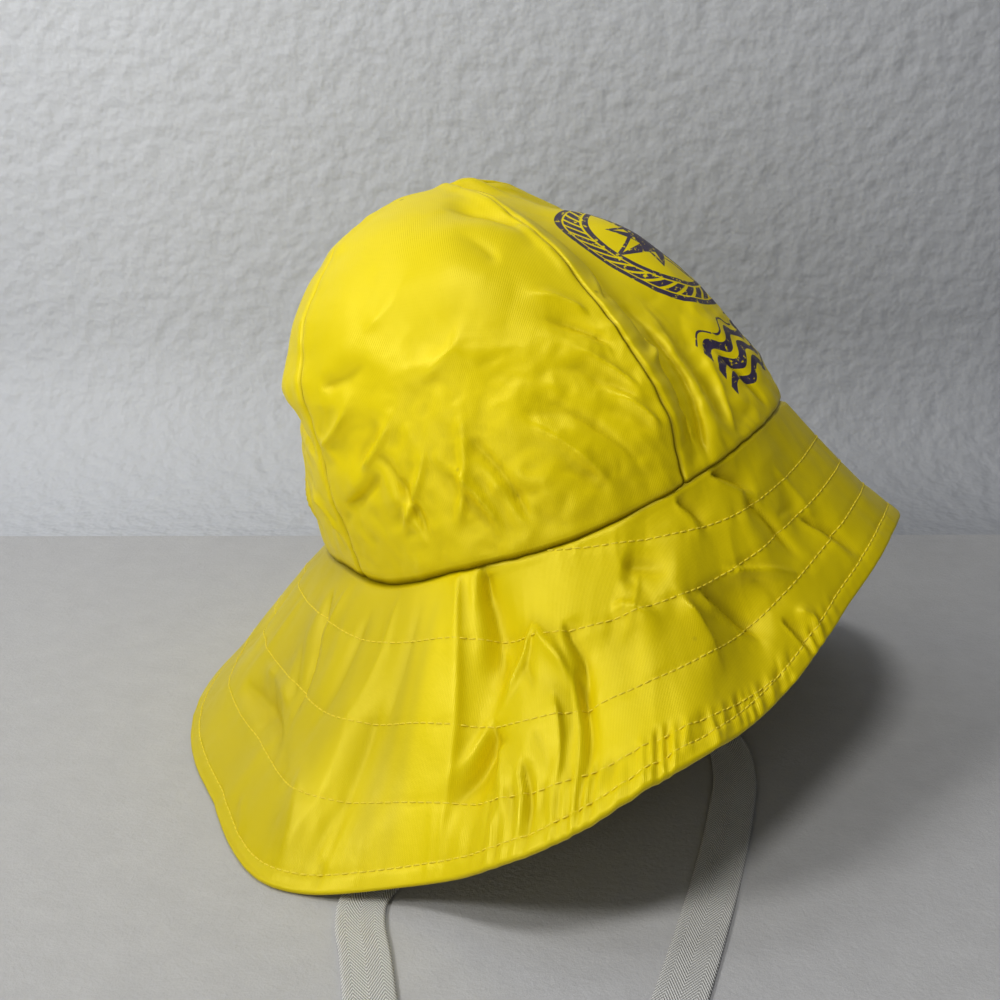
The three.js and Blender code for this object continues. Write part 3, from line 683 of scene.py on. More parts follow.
def crown_panel(name, node, from_seam, to_seam, material):
    wide = math.radians(to_seam[0] - from_seam[0]) * head_radius()
    columns = int(wide / CROWN_STEP)
    rows = int(crown_span() / CROWN_STEP)
    share = np.linspace(0, 1, columns + 1)
    share = share - 0.055 * np.sin(2 * math.pi * share)
    height = 1 - np.linspace(0, 1, rows + 1)
    height = height - 0.012 * np.sin(2 * math.pi * height) / 2
    share, height = np.meshgrid(share, height.clip(0, 1), indexing="ij")
    start, end = seam_azimuth(from_seam, height), seam_azimuth(to_seam, height)
    azimuth = start + (end - start) * share
    width = np.radians(end - start) * ring_radius(height)
    points = crown_base(azimuth, height)
    normals = surface_normal(crown_base, azimuth, np.minimum(height, 0.995), -1)
    normals = level_at_seam(points, normals, height)
    is_side = node != "crown_front_panel"
    seams = ((from_seam, is_side), (to_seam, is_side))
    detail = crown_detail(azimuth, height, points, share * width, (1 - share) * width, seams)
    apex = height >= 0.999
    normals[apex] = (0, 0, 1)
    detail[apex] = -CROWN_SEAM_GROOVE[0] * MM
    outer = points + normals * detail[..., None]
    seam_distance = np.minimum(share, 1 - share) * width
    waist_distance = height * crown_span()
    welt = 1 - smooth_step((seam_distance - WELT_WIDTH) / BINDING_EDGE)
    band = 1 - smooth_step((waist_distance - BAND_WIDTH) / BINDING_EDGE)
    closing = smooth_step((1 - height) / 0.06)
    binding = np.maximum(welt * 0.6, band) * closing
    inner = outer - normals * (hat_sizes().crown_cloth + 0.1 * MM + binding * BINDING_THICKNESS)[..., None]
    spots = np.stack([(share - 0.5) * width, waist_distance], -1)
    # Narrow band along the seams, where the material paints shade into the seam grooves
    seam = np.maximum(np.exp(-(seam_distance / (0.5 * MM)) ** 2) * (height < 0.97),
                      np.exp(-(waist_distance / (0.55 * MM)) ** 2))
    values = {"hollow_shade": hollow_shade_values(detail), "streak_shade": np.zeros_like(detail), "seam": seam,
              # The crown is painted darker towards its foot, next to the brim seam
              "soil_and_shade": 0.35 * bump(height, 0.07), "binding": np.maximum(welt, band) * closing}
    mesh = wall_mesh(name, in_pose(outer), in_pose(inner), spots, values, False)
    mend_mesh(mesh, True)
    piece = new_object(name, mesh, material)
    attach(piece, "root")
    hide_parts(node)


def brim_surface(azimuth, share):
    points = brim_base(azimuth, share)
    normals = surface_normal(brim_base, azimuth, share, 1)
    detail = brim_detail(azimuth, share, points)
    return points, normals, detail


# Rows of points across the hem, by their distance to the rim
HEM_ROWS = np.array([8.0, 7.2, 6.5, 5.8, 5, 4, 3, 2.2, 1.5, 0.9, 0.45, 0.15, 0]) * MM
BRIM_COLUMNS, BRIM_ROWS = 640, 58

# Streaks of painted shade down the brim's valleys: azimuth, half angle and strength
SHADED_STREAKS = ((108, 1.6, 1.0), (104, 1.2, 0.7), (121, 2.2, 0.8), (141, 5, 0.9), (130, 3, 0.5))


# Columns of the brim, closer together where its hem is gathered
def brim_columns():
    fine = np.linspace(0, 360, 3601)
    density = 1 + 1.7 * bump(turn_between(fine, 68), 38)
    total = np.concatenate([[0], np.cumsum((density[1:] + density[:-1]) / 2)])
    return np.interp(np.linspace(0, total[-1], BRIM_COLUMNS + 1), total, fine)


def brim_piece(material):
    azimuth = brim_columns()
    length = brim_length(azimuth)
    body = np.linspace(0, 1, BRIM_ROWS, endpoint=False)[None] * (1 - HEM_ROWS[0] / length)[:, None]
    share = np.concatenate([body, 1 - HEM_ROWS[None] / length[:, None]], 1)
    azimuth = np.broadcast_to(azimuth[:, None], share.shape)
    points, normals, detail = brim_surface(azimuth, share)
    normals = level_at_seam(points, normals, share)
    rim = (1 - share) * length[:, None]
    sizes = hat_sizes()
    thick = sizes.brim_cloth + (sizes.hem_cloth - sizes.brim_cloth) * smooth_step(
        (sizes.hem_width + 0.6 * MM - rim) / (1.2 * MM))
    edge = np.sqrt(1 - (1 - np.clip(rim / (1.3 * MM), 0, 1)) ** 2)
    outer = points + normals * (detail - thick * (1 - edge) * 0.45)[..., None]
    inner = outer - normals * (thick * (0.12 + 0.88 * edge))[..., None]
    spots = np.stack([np.radians(azimuth) * BRIM_RADIUS, share * length[:, None]], -1)
    # Painted shade in streaks down the brim's valleys, fading out by the seam and by the rim
    streak = sum(depth * bump(turn_between(azimuth, middle), half) for middle, half, depth in SHADED_STREAKS)
    streak_shade = streak * smooth_step(share / 0.25) * smooth_step((1.02 - share) / 0.25)
    # Darker brim: mostly painted shade all over it, where less light reaches it, with dirt added towards the
    # left back, and less darkening on the bright ridge near azimuth 100, a painted highlight
    soil_and_shade = 0.42 + 0.8 * bump(turn_between(azimuth, 145), 28) - 0.3 * bump(turn_between(azimuth, 100), 5)
    soil_and_shade = soil_and_shade * (1 + 0.5 * noise_at(points, 0.03, 21))
    # Narrow band at the seam with the crown, where the material paints shade into the groove
    seam = np.exp(-(share * length[:, None] / (0.5 * MM)) ** 2)
    values = {"hollow_shade": hollow_shade_values(detail), "streak_shade": np.clip(streak_shade, 0, 1), "seam": seam,
              "soil_and_shade": np.clip(soil_and_shade, 0, 1)}
    outer, inner = (side[:-1] for side in on_table(outer, inner))
    values = {label: grid[:-1] for label, grid in values.items()}
    mesh = wall_mesh("brim_cloth", outer, inner, spots, values, True)
    piece = new_object("brim_cloth", mesh, material)
    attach(piece, "root")
    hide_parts("brim")


# Rings of a stitch: share of its run, then height and thickness as shares of the thread's radius
STITCH_RINGS = ((0.0, -0.7, 0.55), (0.14, 0.4, 0.95), (0.5, 0.85, 1.0), (0.86, 0.4, 0.95), (1.0, -0.7, 0.55))
STITCH_SIDES = 6


# One stitch: a short tapered thread between two points, over the cloth
def add_stitch(vertices, faces, start, end, out, radius):
    run = end - start
    side = np.cross(out, run / np.linalg.norm(run))
    first = len(vertices)
    corners = range(STITCH_SIDES)
    for part, lift, thick in STITCH_RINGS:
        middle = start + run * part + out * radius * lift
        for corner in corners:
            turn = 2 * math.pi * corner / STITCH_SIDES
            vertices.append(middle + radius * thick * (side * math.cos(turn) + out * math.sin(turn)))
    last = first + (len(STITCH_RINGS) - 1) * STITCH_SIDES
    for ring in range(first, last, STITCH_SIDES):
        for corner in corners:
            a, b = ring + corner, ring + (corner + 1) % STITCH_SIDES
            faces.append((a, a + STITCH_SIDES, b + STITCH_SIDES, b))
    faces.append(tuple(first + corner for corner in corners))
    faces.append(tuple(last + corner for corner in reversed(corners)))


# How far along a line each of its points is
def run_along(line):
    return np.concatenate([[0], np.cumsum(np.linalg.norm(np.diff(line, axis=0), axis=1))])


# Values of a line at distances along it
def line_at(distance, run, line):
    return np.stack([np.interp(distance, run, line[:, axis]) for axis in range(3)], -1)


STITCH_GAP = 0.06


# Stitches on both sides of the brim; none where its under side lies on the table
def stitch_row(azimuth, share, vertices, faces):
    sizes = hat_sizes()
    places, normals, detail = brim_surface(azimuth, share)
    upper = places + normals * detail[:, None]
    pitch = sizes.stitch_pitch
    for side, surface in zip((1, -1), on_table(upper, upper - normals * sizes.brim_cloth)):
        outward = (normals @ tilt().T) * side
        run = run_along(surface)
        for stitch in range(int(run[-1] / pitch)):
            begin, end = (stitch + STITCH_GAP) * pitch, (stitch + 1 - STITCH_GAP) * pitch
            start, stop = line_at(np.array([begin, end]), run, surface)
            out = line_at((begin + end) / 2, run, outward)
            out = out / np.linalg.norm(out)
            if min(start[2], stop[2]) > 0.6 * MM or side > 0:
                add_stitch(vertices, faces, start, stop, out, sizes.thread / 2)


ROW_START, ROW_END, ROW_STEP = 80.5, -1040, 0.4


def stitches_piece(material):
    vertices, faces = [], []
    turn = np.arange(ROW_START, ROW_END, -ROW_STEP)
    stitch_row(turn % 360, smooth_row(turn), vertices, faces)
    azimuth = np.arange(0, 360.01, ROW_STEP)
    stitch_row(azimuth, hem_share(azimuth), vertices, faces)
    mesh = bpy.data.meshes.new("brim_stitches")
    mesh.from_pydata([tuple(v) for v in vertices], [], faces)
    piece = new_object("brim_stitches", mesh, material)
    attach(piece, "root")


# Smooth line through the route's points, the same that the solid follows
def tape_line(route, count):
    knots = [np.array(point, float) * MM for point in route]
    knots = [2 * knots[0] - knots[1], *knots, 2 * knots[-1] - knots[-2]]
    line = []
    for a, b, c, d in zip(knots, knots[1:], knots[2:], knots[3:]):
        t1, t2, t3 = (max(np.linalg.norm(q - p) ** 0.5, 1e-4) for p, q in ((a, b), (b, c), (c, d)))
        start = ((b - a) / t1 - (c - a) / (t1 + t2) + (c - b) / t2) * t2
        end = ((c - b) / t2 - (d - b) / (t2 + t3) + (d - c) / t3) * t2
        for part in np.linspace(0, 1, 40, endpoint=False):
            line.append(cubic(part, b, start, c, end))
    line.append(knots[-2])
    line = np.array(line)
    run = run_along(line)
    return line_at(np.linspace(0, run[-1], count), run, line), run[-1]


TAPE_RINGS, TAPE_STATIONS, TAPE_HALF = 260, 15, 0.27


def tape_piece(name, node, route, material, seed):
    sizes = hat_sizes()
    line, length = tape_line(route, TAPE_RINGS)
    half = sizes.tape_thickness * TAPE_HALF
    line[:, 2] = line[:, 2].clip(0.05 * MM + sizes.tape_thickness / 2)
    run = np.gradient(line, axis=0)
    run /= np.linalg.norm(run, axis=1)[:, None]
    across = np.cross([0, 0, 1], run)
    across /= np.linalg.norm(across, axis=1)[:, None]
    out = np.cross(run, across)
    stations = np.linspace(-1, 1, TAPE_STATIONS)
    top, bottom = [], []
    for ring in range(TAPE_RINGS):
        distance = ring / (TAPE_RINGS - 1) * length
        curl = 0.5 * MM * noise.noise((distance / 0.04, seed, 0.3))
        for station in stations:
            lift = 0.35 * MM * abs(noise.noise((distance / 0.018, station * 1.3, seed)))
            lift += curl * station * station + 0.18 * MM
            edge = math.sqrt(max(0, 1 - max(0, (abs(station) - 0.9) / 0.1) ** 2 * 0.75))
            sideways = across[ring] * station * sizes.tape_width / 2
            centre = line[ring] + sideways + out[ring] * max(lift, 0) * 0.5
            top.append(centre + out[ring] * half * edge)
            bottom.append(centre - out[ring] * half * edge)
    top, bottom = (np.array(side).reshape(TAPE_RINGS, TAPE_STATIONS, 3) for side in (top, bottom))
    top[..., 2] = top[..., 2].clip(0.3 * MM)
    bottom[..., 2] = bottom[..., 2].clip(0.02 * MM)
    spots = at_points(stations * sizes.tape_width / 2, np.linspace(0, length, TAPE_RINGS)[:, None])
    mesh = wall_mesh(name, top, bottom, spots, {}, False)
    mend_mesh(mesh, False)
    piece = new_object(name, mesh, material)
    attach(piece, "root")
    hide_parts(node)


# Gives a node its values; those that are sockets are linked
def feed(tree, made, inputs):
    for key, value in inputs.items():
        if isinstance(value, bpy.types.NodeSocket):
            tree.links.new(value, made.inputs[key])
        else:
            made.inputs[key].default_value = value


def put(tree, kind, inputs=None, **settings):
    made = tree.nodes.new(kind)
    for key, value in settings.items():
        setattr(made, key, value)
    feed(tree, made, inputs or {})
    return made


def maths(tree, operation, *values):
    return put(tree, "ShaderNodeMath", dict(enumerate(values)), operation=operation).outputs[0]


def times(tree, first, second):
    return maths(tree, "MULTIPLY", first, second)


# Distance of a value from another, whichever is larger
def apart(tree, first, second):
    return maths(tree, "ABSOLUTE", maths(tree, "SUBTRACT", first, second))


# Inputs 6 and 7 and output 2 of a Mix node are its colours
def mix_colour(tree, factor, *colours):
    made = put(tree, "ShaderNodeMix", {"Factor": factor}, data_type="RGBA")
    for key, value in zip((6, 7), colours):
        feed(tree, made, {key: value if isinstance(value, bpy.types.NodeSocket) else (*value[:3], 1)})
    return made.outputs[2]


def relief(tree, height, strength, distance, **more):
    inputs = {"Height": height, "Strength": strength, "Distance": distance, **more}
    return put(tree, "ShaderNodeBump", inputs).outputs[0]


def spread(tree, value, low, high, to_low=0.0, to_high=1.0):
    return put(tree, "ShaderNodeMapRange", {"Value": value, "From Min": low, "From Max": high,
               "To Min": to_low, "To Max": to_high}).outputs[0]


def noise_value(tree, vector, scale, detail=2.0, roughness=0.5):
    return put(tree, "ShaderNodeTexNoise", {"Vector": vector, "Scale": scale, "Detail": detail,
               "Roughness": roughness}).outputs[0]


def attribute(tree, name):
    return put(tree, "ShaderNodeAttribute", attribute_name=name).outputs["Fac"]


def new_group(name, inputs, outputs):
    group = bpy.data.node_groups.new(name, "ShaderNodeTree")
    for label, kind, value in inputs:
        socket = group.interface.new_socket(name=label, in_out="INPUT", socket_type=kind)
        if value is not None:
            socket.default_value = value
    for label, kind in outputs:
        group.interface.new_socket(name=label, in_out="OUTPUT", socket_type=kind)
    return group, put(group, "NodeGroupInput"), put(group, "NodeGroupOutput")


def group_node(tree, name, inputs):
    return put(tree, "ShaderNodeGroup", inputs, node_tree=bpy.data.node_groups[name])


VALUE, VECTOR = "NodeSocketFloat", "NodeSocketVector"


# Ribs of a plain weave that show through a coating
def make_weave_group():
    group, given, result = new_group(
        "plain_weave", [("Spot", VECTOR, None), ("Pitch", VALUE, 0.0006)], [("Height", VALUE)])
    spot = put(group, "ShaderNodeSeparateXYZ", {0: given.outputs["Spot"]})
    turn = maths(group, "DIVIDE", 2 * math.pi, given.outputs["Pitch"])
    warp, weft = (maths(group, "SINE", times(group, spot.outputs[way], turn)) for way in (0, 1))
    cross = maths(group, "MULTIPLY_ADD", times(group, warp, weft), 0.2, 0.5)
    feed(group, result, {"Height": maths(group, "MULTIPLY_ADD", warp, 0.3, cross)})


# Soft mottling, fine grain and specks of a used surface
def make_wear_group():
    group, given, result = new_group(
        "used_surface", [("Spot", VECTOR, None), ("Scale", VALUE, 1.0)],
        [("Mottle", VALUE), ("Grain", VALUE), ("Specks", VALUE), ("Rub", VALUE)])
    spot = put(group, "ShaderNodeVectorMath", {0: given.outputs["Spot"], "Scale": given.outputs["Scale"]},
               operation="SCALE").outputs[0]
    dots = put(group, "ShaderNodeTexVoronoi", {"Vector": spot, "Scale": 75.0}).outputs["Distance"]
    few = spread(group, noise_value(group, spot, 30, 2), 0.62, 0.7)
    feed(group, result, {
        "Mottle": spread(group, noise_value(group, spot, 22, 4, 0.55), 0.3, 0.7),
        "Grain": noise_value(group, spot, 900, 3, 0.6),
        "Specks": times(group, spread(group, dots, 0.09, 0.03), few),
        "Rub": spread(group, noise_value(group, spot, 60, 6, 0.7), 0.52, 0.72)})


def ring_mask(group, radius, middle, half):
    return spread(group, apart(group, radius, middle), half, half - 0.00012)


# Sizes of the print: its middle's height over the brim, rings and rope with radius and half width,
# the rope's strands and slant, stars with points, turn, outer and inner radius, waves with length,
# height and distance, and the edges at which the waves start and stop
PRINT_HEIGHT, RINGS, ROPE = 0.074, ((0.0235, 0.0011), (0.0322, 0.0012)), (0.0279, 0.0026)
STARS = ((4, 0.0, 0.0228, 0.0075), (4, 0.5, 0.016, 0.0072))
ROPE_STRANDS, ROPE_SLANT = 30, 210.0
WAVE_LENGTH, WAVE_HEIGHT, WAVE_DISTANCE = 0.0165, 0.0022, 0.0069
WAVES_TOP, WAVES_FOOT, WAVES_SIDE = (-0.0391, -0.0392), (-0.0599, -0.0598), (0.0352, 0.0350)


# A compass rose in a rope ring over three waves, in one ink
def make_emblem_group():
    group, given, result = new_group("compass_print", [("Spot", VECTOR, None)], [("Ink", VALUE)])
    spot = put(group, "ShaderNodeSeparateXYZ", {0: given.outputs["Spot"]})
    across, up = spot.outputs[0], maths(group, "SUBTRACT", spot.outputs[1], PRINT_HEIGHT)
    radius = maths(group, "SQRT", maths(group, "ADD", times(group, across, across), times(group, up, up)))
    angle = maths(group, "ARCTAN2", across, up)
    ink = maths(group, "MAXIMUM", *(ring_mask(group, radius, *ring) for ring in RINGS))
    strand = times(group, angle, ROPE_STRANDS / (2 * math.pi))
    slant = maths(group, "MULTIPLY_ADD", radius, ROPE_SLANT, strand)
    strands = spread(group, apart(group, maths(group, "FRACT", slant), 0.5), 0.36, 0.32)
    ink = maths(group, "MAXIMUM", ink, times(group, strands, ring_mask(group, radius, *ROPE)))
    for points, turn, far, near in STARS:
        part = maths(group, "MULTIPLY_ADD", angle, points / (2 * math.pi), turn + 0.5)
        sector = maths(group, "FRACT", part)
        side = maths(group, "SUBTRACT", sector, 0.5)
        lean = times(group, maths(group, "ABSOLUTE", side), 2 * math.pi / points)
        x, y = (times(group, radius, maths(group, way, lean)) for way in ("COSINE", "SINE"))
        nx, ny = near * math.cos(math.pi / points), near * math.sin(math.pi / points)
        size = math.hypot(far - nx, ny)
        reach = maths(group, "ADD", times(group, x, ny / size), times(group, y, (far - nx) / size))
        depth = maths(group, "SUBTRACT", far * ny / size, reach)
        outline = spread(group, maths(group, "ABSOLUTE", depth), 0.0007, 0.00055)
        fill = times(group, spread(group, depth, 0.0, 0.0001), spread(group, side, -0.004, 0.004))
        ink = maths(group, "MAXIMUM", ink, maths(group, "MAXIMUM", outline, fill))
    sway = maths(group, "SINE", times(group, across, 2 * math.pi / WAVE_LENGTH))
    level = maths(group, "MULTIPLY_ADD", sway, WAVE_HEIGHT, up)
    lines = apart(group, maths(group, "FRACT", maths(group, "DIVIDE", level, WAVE_DISTANCE)), 0.5)
    waves = spread(group, lines, 0.31, 0.29)
    aside = maths(group, "ABSOLUTE", across)
    for value, edge in ((level, WAVES_TOP), (level, WAVES_FOOT), (aside, WAVES_SIDE)):
        waves = times(group, waves, spread(group, value, *edge))
    feed(group, result, {"Ink": maths(group, "MAXIMUM", ink, waves)})


# Makes a material and gives its tree, its shader and the place on the piece
def new_material(name):
    material = bpy.data.materials.new(name)
    material.use_nodes = True
    tree = material.node_tree
    tree.nodes.clear()
    shader = put(tree, "ShaderNodeBsdfPrincipled")
    put(tree, "ShaderNodeOutputMaterial", {0: shader.outputs[0]})
    return tree, shader, put(tree, "ShaderNodeTexCoord").outputs["Object"]


# Coated cloth, satin outside and matt inside, over a plain weave
def coated_cloth(name, printed):
    tree, shader, place = new_material(name)
    colours = hat_colours()
    spot = put(tree, "ShaderNodeUVMap", uv_map="cloth").outputs[0]
    used = group_node(tree, "used_surface", {"Spot": place, "Scale": 1.0})
    weave = group_node(tree, "plain_weave", {"Spot": spot, "Pitch": hat_sizes().weave_pitch})
    hollow_shade = attribute(tree, "hollow_shade")
    inside = spread(tree, attribute(tree, "inside"), 0.4, 0.6)
    mottle = used.outputs["Mottle"]
    base = colours.cloth
    for factor, tint in (
            (spread(tree, mottle, 0, 1, 0.0, 0.22), (0.66, 0.53, 0.004)),
            # darker cloth: painted shade and some dirt on the brim, and darker towards the crown's foot
            (times(tree, attribute(tree, "soil_and_shade"), 0.6), (0.46, 0.37, 0.001)),
            # greyish painted shade in streaks down the brim's valleys
            (times(tree, attribute(tree, "streak_shade"), spread(tree, mottle, 0, 1, 0.25, 0.6)), colours.cloth_streak_shade),
            # painted shade in the hollows of folds, creases and stitch grooves
            (spread(tree, hollow_shade, 0.1, 1.0, 0.0, 0.28), (0.42, 0.33, 0.004)),
            # painted shade, nearly black, in the seam grooves
            (times(tree, attribute(tree, "seam"), 0.75), (0.08, 0.05, 0.0)),
            (times(tree, used.outputs["Specks"], 0.5), (0.2, 0.15, 0.02)),
            (spread(tree, weave.outputs["Height"], 0.0, 1.0, 0.06, 0.0), (0.5, 0.4, 0.0))):
        base = mix_colour(tree, factor, base, tint)
    if printed:
        emblem = group_node(tree, "compass_print", {"Spot": spot})
        cracks = spread(tree, noise_value(tree, place, 420, 4, 0.7), 0.36, 0.42)
        outside = maths(tree, "SUBTRACT", 1.0, inside)
        ink = times(tree, times(tree, emblem.outputs["Ink"], cracks), outside)
        base = mix_colour(tree, times(tree, ink, 0.96), base, colours.ink)
    lining = mix_colour(tree, attribute(tree, "binding"), colours.backing, colours.binding)
    lining = mix_colour(tree, spread(tree, mottle, 0, 1, 0.0, 0.25), lining, (0.5, 0.4, 0.08))
    rough = spread(tree, used.outputs["Rub"], 0, 1, 0.4, 0.54)
    rough = maths(tree, "MULTIPLY_ADD", hollow_shade, 0.06, rough)
    rough = maths(tree, "MULTIPLY_ADD", inside, 0.35, rough)
    height = maths(tree, "MULTIPLY_ADD", used.outputs["Grain"], 0.5, weave.outputs["Height"])
    fine = relief(tree, height, 0.5, 0.00009)
    soft = put(tree, "ShaderNodeTexNoise", {"Vector": place, "Scale": 70.0, "Detail": 4.0, "Roughness": 0.5},
               noise_type="RIDGED_MULTIFRACTAL").outputs[0]
    soft = maths(tree, "MULTIPLY_ADD", noise_value(tree, place, 210, 4, 0.65), 0.7, soft)
    feed(tree, shader, {
        "Base Color": mix_colour(tree, inside, base, lining), "Roughness": rough, "IOR": 1.5,
        "Specular IOR Level": 1.0, "Specular Tint": (1.0, 0.89, 0.26, 1),
        "Normal": relief(tree, soft, 0.25, 0.0005, Normal=fine)})


def sewing_thread():
    tree, shader, place = new_material("sewing_thread")
    shade = noise_value(tree, place, 1500, 2)
    base = mix_colour(tree, shade, hat_colours().thread, (0.7, 0.57, 0.03))
    feed(tree, shader, {"Base Color": base, "Roughness": 0.55, "Normal": relief(tree, shade, 0.6, 0.0001)})


STRIPES, RIB_SLOPE, RIB_PITCH, THREAD_PITCH = 3.4, 1.8, 0.0016, 0.0005


# Herringbone twill: fine diagonal ribs that turn back from stripe to stripe
def twill_tape():
    tree, shader, place = new_material("herringbone_twill")
    spot = put(tree, "ShaderNodeSeparateXYZ", {0: put(tree, "ShaderNodeUVMap", uv_map="cloth").outputs[0]})
    stripe = hat_sizes().tape_width / STRIPES
    across = maths(tree, "PINGPONG", maths(tree, "ADD", spot.outputs[0], stripe * 4), stripe)
    slope = maths(tree, "ADD", times(tree, across, RIB_SLOPE), spot.outputs[1])
    rib = maths(tree, "SINE", times(tree, slope, 2 * math.pi / RIB_PITCH))
    thread = maths(tree, "SINE", times(tree, spot.outputs[0], 2 * math.pi / THREAD_PITCH))
    height = maths(tree, "MULTIPLY_ADD", rib, 0.35, maths(tree, "MULTIPLY_ADD", thread, 0.1, 0.5))
    used = group_node(tree, "used_surface", {"Spot": place, "Scale": 1.2})
    base = mix_colour(tree, spread(tree, height, 0.2, 0.8, 1.0, 0.0), hat_colours().tape, (0.38, 0.38, 0.37))
    base = mix_colour(tree, times(tree, used.outputs["Mottle"], 0.14), base, (0.5, 0.49, 0.45))
    feed(tree, shader, {"Base Color": base, "Roughness": 0.88, "Sheen Weight": 0.25, "Sheen Roughness": 0.5,
                        "Normal": relief(tree, height, 1.0, 0.0004)})


# Lets a stage piece be seen from its front alone
def clear_back(tree, shader):
    clear = put(tree, "ShaderNodeBsdfTransparent")
    back = put(tree, "ShaderNodeNewGeometry").outputs["Backfacing"]
    mixed = put(tree, "ShaderNodeMixShader", {0: back, 1: shader.outputs[0], 2: clear.outputs[0]})
    output = next(made for made in tree.nodes if made.type == "OUTPUT_MATERIAL")
    feed(tree, output, {0: mixed.outputs[0]})


def table_felt():
    tree, shader, place = new_material("table_felt")
    soft = noise_value(tree, place, 70, 6, 0.7)
    base = mix_colour(tree, spread(tree, soft, 0.3, 0.7, 0.0, 0.22), hat_colours().table, (0.36, 0.36, 0.37))
    feed(tree, shader, {"Base Color": base, "Roughness": 0.95,
                        "Normal": relief(tree, noise_value(tree, place, 420, 5, 0.75), 0.5, 0.0008)})
    clear_back(tree, shader)


# Rough plaster, with painted shade to the right and at its foot
def plaster_wall():
    tree, shader, place = new_material("plaster_wall")
    spot = put(tree, "ShaderNodeSeparateXYZ", {0: place})
    base, shade = hat_colours().wall, hat_colours().wall_shade
    base = mix_colour(tree, spread(tree, spot.outputs[0], -0.3, 0.55), base, shade)
    base = mix_colour(tree, spread(tree, spot.outputs[2], 0.3, 0.0, 0.0, 0.35), base, shade)
    feed(tree, shader, {"Base Color": base, "Roughness": 0.6,
                        "Normal": relief(tree, noise_value(tree, place, 100, 2, 0.45), 0.5, 0.005)})
    clear_back(tree, shader)


def stage_piece(name, corners, faces, material):
    mesh = bpy.data.meshes.new(name)
    mesh.from_pydata(corners, [], faces)
    new_object(name, mesh, material)


TABLE_REACH = 4.0


def add_table(material, level):
    corners = [(x * TABLE_REACH, y * TABLE_REACH, level) for x, y in ((-1, -1), (1, -1), (1, 1), (-1, 1))]
    stage_piece("table", corners, [(0, 1, 2, 3)], material)


SWEEP_START, SWEEP_RADIUS, SWEEP_TURN, SWEEP_WIDE, SWEEP_TALL = 0.2, 0.1, math.radians(14), 3.0, 2.5
SWEEP_STEPS = 16


# Wall behind the hat, which rises out of the table in a soft curve
def add_sweep(material, level):
    profile = [(SWEEP_START - 0.02, level - 0.001), (SWEEP_START, level + 0.0001)]
    for step in range(1, SWEEP_STEPS + 1):
        rise = math.radians(90) * step / SWEEP_STEPS
        profile.append((SWEEP_START + SWEEP_RADIUS * math.sin(rise),
                        level + SWEEP_RADIUS * (1 - math.cos(rise))))
    profile.append((SWEEP_START + SWEEP_RADIUS, SWEEP_TALL))
    corners = []
    for away, high in profile:
        for side in (-SWEEP_WIDE, SWEEP_WIDE):
            corners.append((side * math.cos(SWEEP_TURN) - away * math.sin(SWEEP_TURN),
                            side * math.sin(SWEEP_TURN) + away * math.cos(SWEEP_TURN), high))
    faces = [(2 * i, 2 * i + 1, 2 * i + 3, 2 * i + 2) for i in range(len(profile) - 1)]
    stage_piece("wall", corners, faces, material)


def soft_light(name, place, target, size, power, tint):
    lamp = bpy.data.lights.new(name, "AREA")
    lamp.shape, lamp.size, lamp.energy, lamp.color = "DISK", size, power, tint
    thing = bpy.data.objects.new(name, lamp)
    bpy.context.scene.collection.objects.link(thing)
    thing.location = place
    thing.rotation_euler = (Vector(target) - Vector(place)).to_track_quat("-Z", "Y").to_euler()


# Soft lights: name, place, what it points at, size, power and colour
WARM, COOL = (1.0, 0.99, 0.96), (0.98, 0.99, 1.0)
LIGHTS = (
    ("front_light", (-0.78, -0.8, 0.92), (0, 0, 0.1), 0.32, 5.5, WARM),
    ("room_light", (-0.2, -1.3, 0.24), (0, 0, 0.08), 0.7, 3.3, WARM),
    ("window_light", (-0.75, -0.2, 0.95), (-0.35, 0.35, 0.6), 0.3, 1.3, COOL),
    ("ceiling_light", (0.04, -0.4, 1.25), (0, 0, 0.1), 0.28, 3.7, WARM),
)
ROOM_COLOUR, ROOM_STRENGTH, FLOOR_LEVEL = (0.93, 0.95, 1.0, 1), 0.12, -0.0002

CAMERA_PLACE = (0.11, -0.5113, 0.2705)
CAMERA_HEADING, CAMERA_DIP = math.radians(13.74), math.radians(19.11)
CAMERA_LENS, CAMERA_SENSOR = 49.63, 36.0


def add_camera():
    data = bpy.data.cameras.new("camera")
    data.lens, data.sensor_width = CAMERA_LENS, CAMERA_SENSOR
    data.clip_start, data.clip_end = 0.01, 50
    camera = bpy.data.objects.new("camera", data)
    bpy.context.scene.collection.objects.link(camera)
    look = Vector((-math.sin(CAMERA_HEADING) * math.cos(CAMERA_DIP),
                   math.cos(CAMERA_HEADING) * math.cos(CAMERA_DIP), -math.sin(CAMERA_DIP)))
    camera.location = CAMERA_PLACE
    camera.rotation_euler = look.to_track_quat("-Z", "Y").to_euler()
    bpy.context.scene.camera = camera


class SOUWESTER_OT_materials(bpy.types.Operator):
    """Makes the shared node groups and the hat's materials"""

    bl_idname = "souwester.materials"
    bl_label = "Materials"

    def execute(self, context):
        make_weave_group()
        make_wear_group()
        make_emblem_group()
        coated_cloth("coated_cloth", False)
        coated_cloth("printed_cloth", True)
        sewing_thread()
        twill_tape()
        return {"FINISHED"}


class SOUWESTER_OT_tapes(bpy.types.Operator):
    """Lays the two tie tapes from the crown to their free ends"""

    bl_idname = "souwester.tapes"
    bl_label = "Tie tapes"

    def execute(self, context):
        material = bpy.data.materials["herringbone_twill"]
        tape_piece("right_tape", "right_tie_tape", RIGHT_TAPE_ROUTE, material, 1.7)
        tape_piece("left_tape", "left_tie_tape", LEFT_TAPE_ROUTE, material, 8.2)
        return {"FINISHED"}


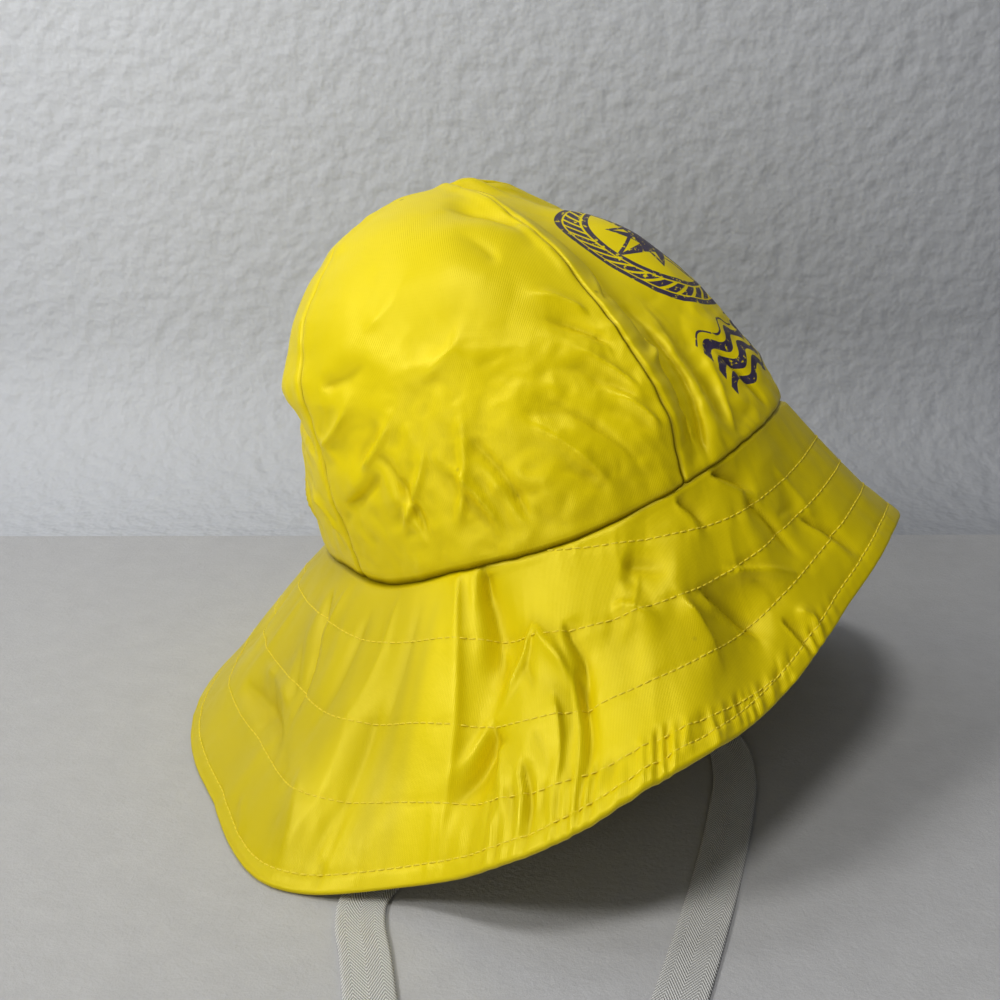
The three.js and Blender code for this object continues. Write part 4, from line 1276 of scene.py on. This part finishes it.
class SOUWESTER_OT_crown(bpy.types.Operator):
    """Sews the four panels of the crown, with the print on the front one"""

    bl_idname = "souwester.crown"
    bl_label = "Crown"

    def execute(self, context):
        plain = bpy.data.materials["coated_cloth"]
        printed = bpy.data.materials["printed_cloth"]
        crown_panel("crown_front", "crown_front_panel", NEAR_FRONT_SEAM, FRONT_SEAM, printed)
        crown_panel("crown_right", "crown_right_panel", FRONT_SEAM, BACK_SEAM, plain)
        crown_panel("crown_back", "crown_back_panel", BACK_SEAM, FAR_BACK_SEAM, plain)
        crown_panel("crown_left", "crown_left_panel", FAR_BACK_SEAM, FAR_FRONT_SEAM, plain)
        return {"FINISHED"}


class SOUWESTER_OT_brim(bpy.types.Operator):
    """Makes the brim with its folds, gathers and turned hem"""

    bl_idname = "souwester.brim"
    bl_label = "Brim"

    def execute(self, context):
        brim_piece(bpy.data.materials["coated_cloth"])
        return {"FINISHED"}


class SOUWESTER_OT_stitches(bpy.types.Operator):
    """Sews the spiral rows of the brim and the row of its hem"""

    bl_idname = "souwester.stitches"
    bl_label = "Stitches"

    def execute(self, context):
        stitches_piece(bpy.data.materials["sewing_thread"])
        return {"FINISHED"}


class SOUWESTER_OT_stage(bpy.types.Operator):
    """Sets up the table, the wall, the lights and the camera"""

    bl_idname = "souwester.stage"
    bl_label = "Stage"

    def execute(self, context):
        add_camera()
        table_felt()
        plaster_wall()
        add_table(bpy.data.materials["table_felt"], FLOOR_LEVEL)
        add_sweep(bpy.data.materials["plaster_wall"], FLOOR_LEVEL)
        for light in LIGHTS:
            soft_light(*light)
        world = bpy.data.worlds.new("soft_room")
        world.use_nodes = True
        background = next(made for made in world.node_tree.nodes if made.type == "BACKGROUND")
        feed(world.node_tree, background, {0: ROOM_COLOUR, 1: ROOM_STRENGTH})
        context.scene.world = world
        context.scene.view_settings.view_transform = "Standard"
        context.scene.view_settings.look = "Medium High Contrast"
        return {"FINISHED"}


class SOUWESTER_PT_panel(bpy.types.Panel):
    """Lists the hat's pieces and sizes"""

    bl_label = "Rain hat"
    bl_idname = "SOUWESTER_PT_panel"
    bl_space_type = "VIEW_3D"
    bl_region_type = "UI"
    bl_category = "Rain Hat"

    def draw(self, context):
        for group in (context.scene.hat_sizes, context.scene.hat_colours):
            for name in group.__annotations__:
                self.layout.prop(group, name)
        for operator in PIECES:
            self.layout.operator(operator.bl_idname)


PIECES = (SOUWESTER_OT_materials, SOUWESTER_OT_tapes, SOUWESTER_OT_crown, SOUWESTER_OT_brim,
          SOUWESTER_OT_stitches, SOUWESTER_OT_stage)
CLASSES = (HatSizes, HatColours, *PIECES, SOUWESTER_PT_panel)


def register():
    for kind in CLASSES:
        bpy.utils.register_class(kind)
    bpy.types.Scene.hat_sizes = PointerProperty(type=HatSizes)
    bpy.types.Scene.hat_colours = PointerProperty(type=HatColours)


def unregister():
    del bpy.types.Scene.hat_colours
    del bpy.types.Scene.hat_sizes
    for kind in reversed(CLASSES):
        bpy.utils.unregister_class(kind)


def main():
    register()
    deselect_all()
    bpy.ops.souwester.materials()
    bpy.ops.souwester.tapes()
    bpy.ops.souwester.crown()
    bpy.ops.souwester.brim()
    bpy.ops.souwester.stitches()
    bpy.ops.souwester.stage()


if __name__ == "__main__":
    main()
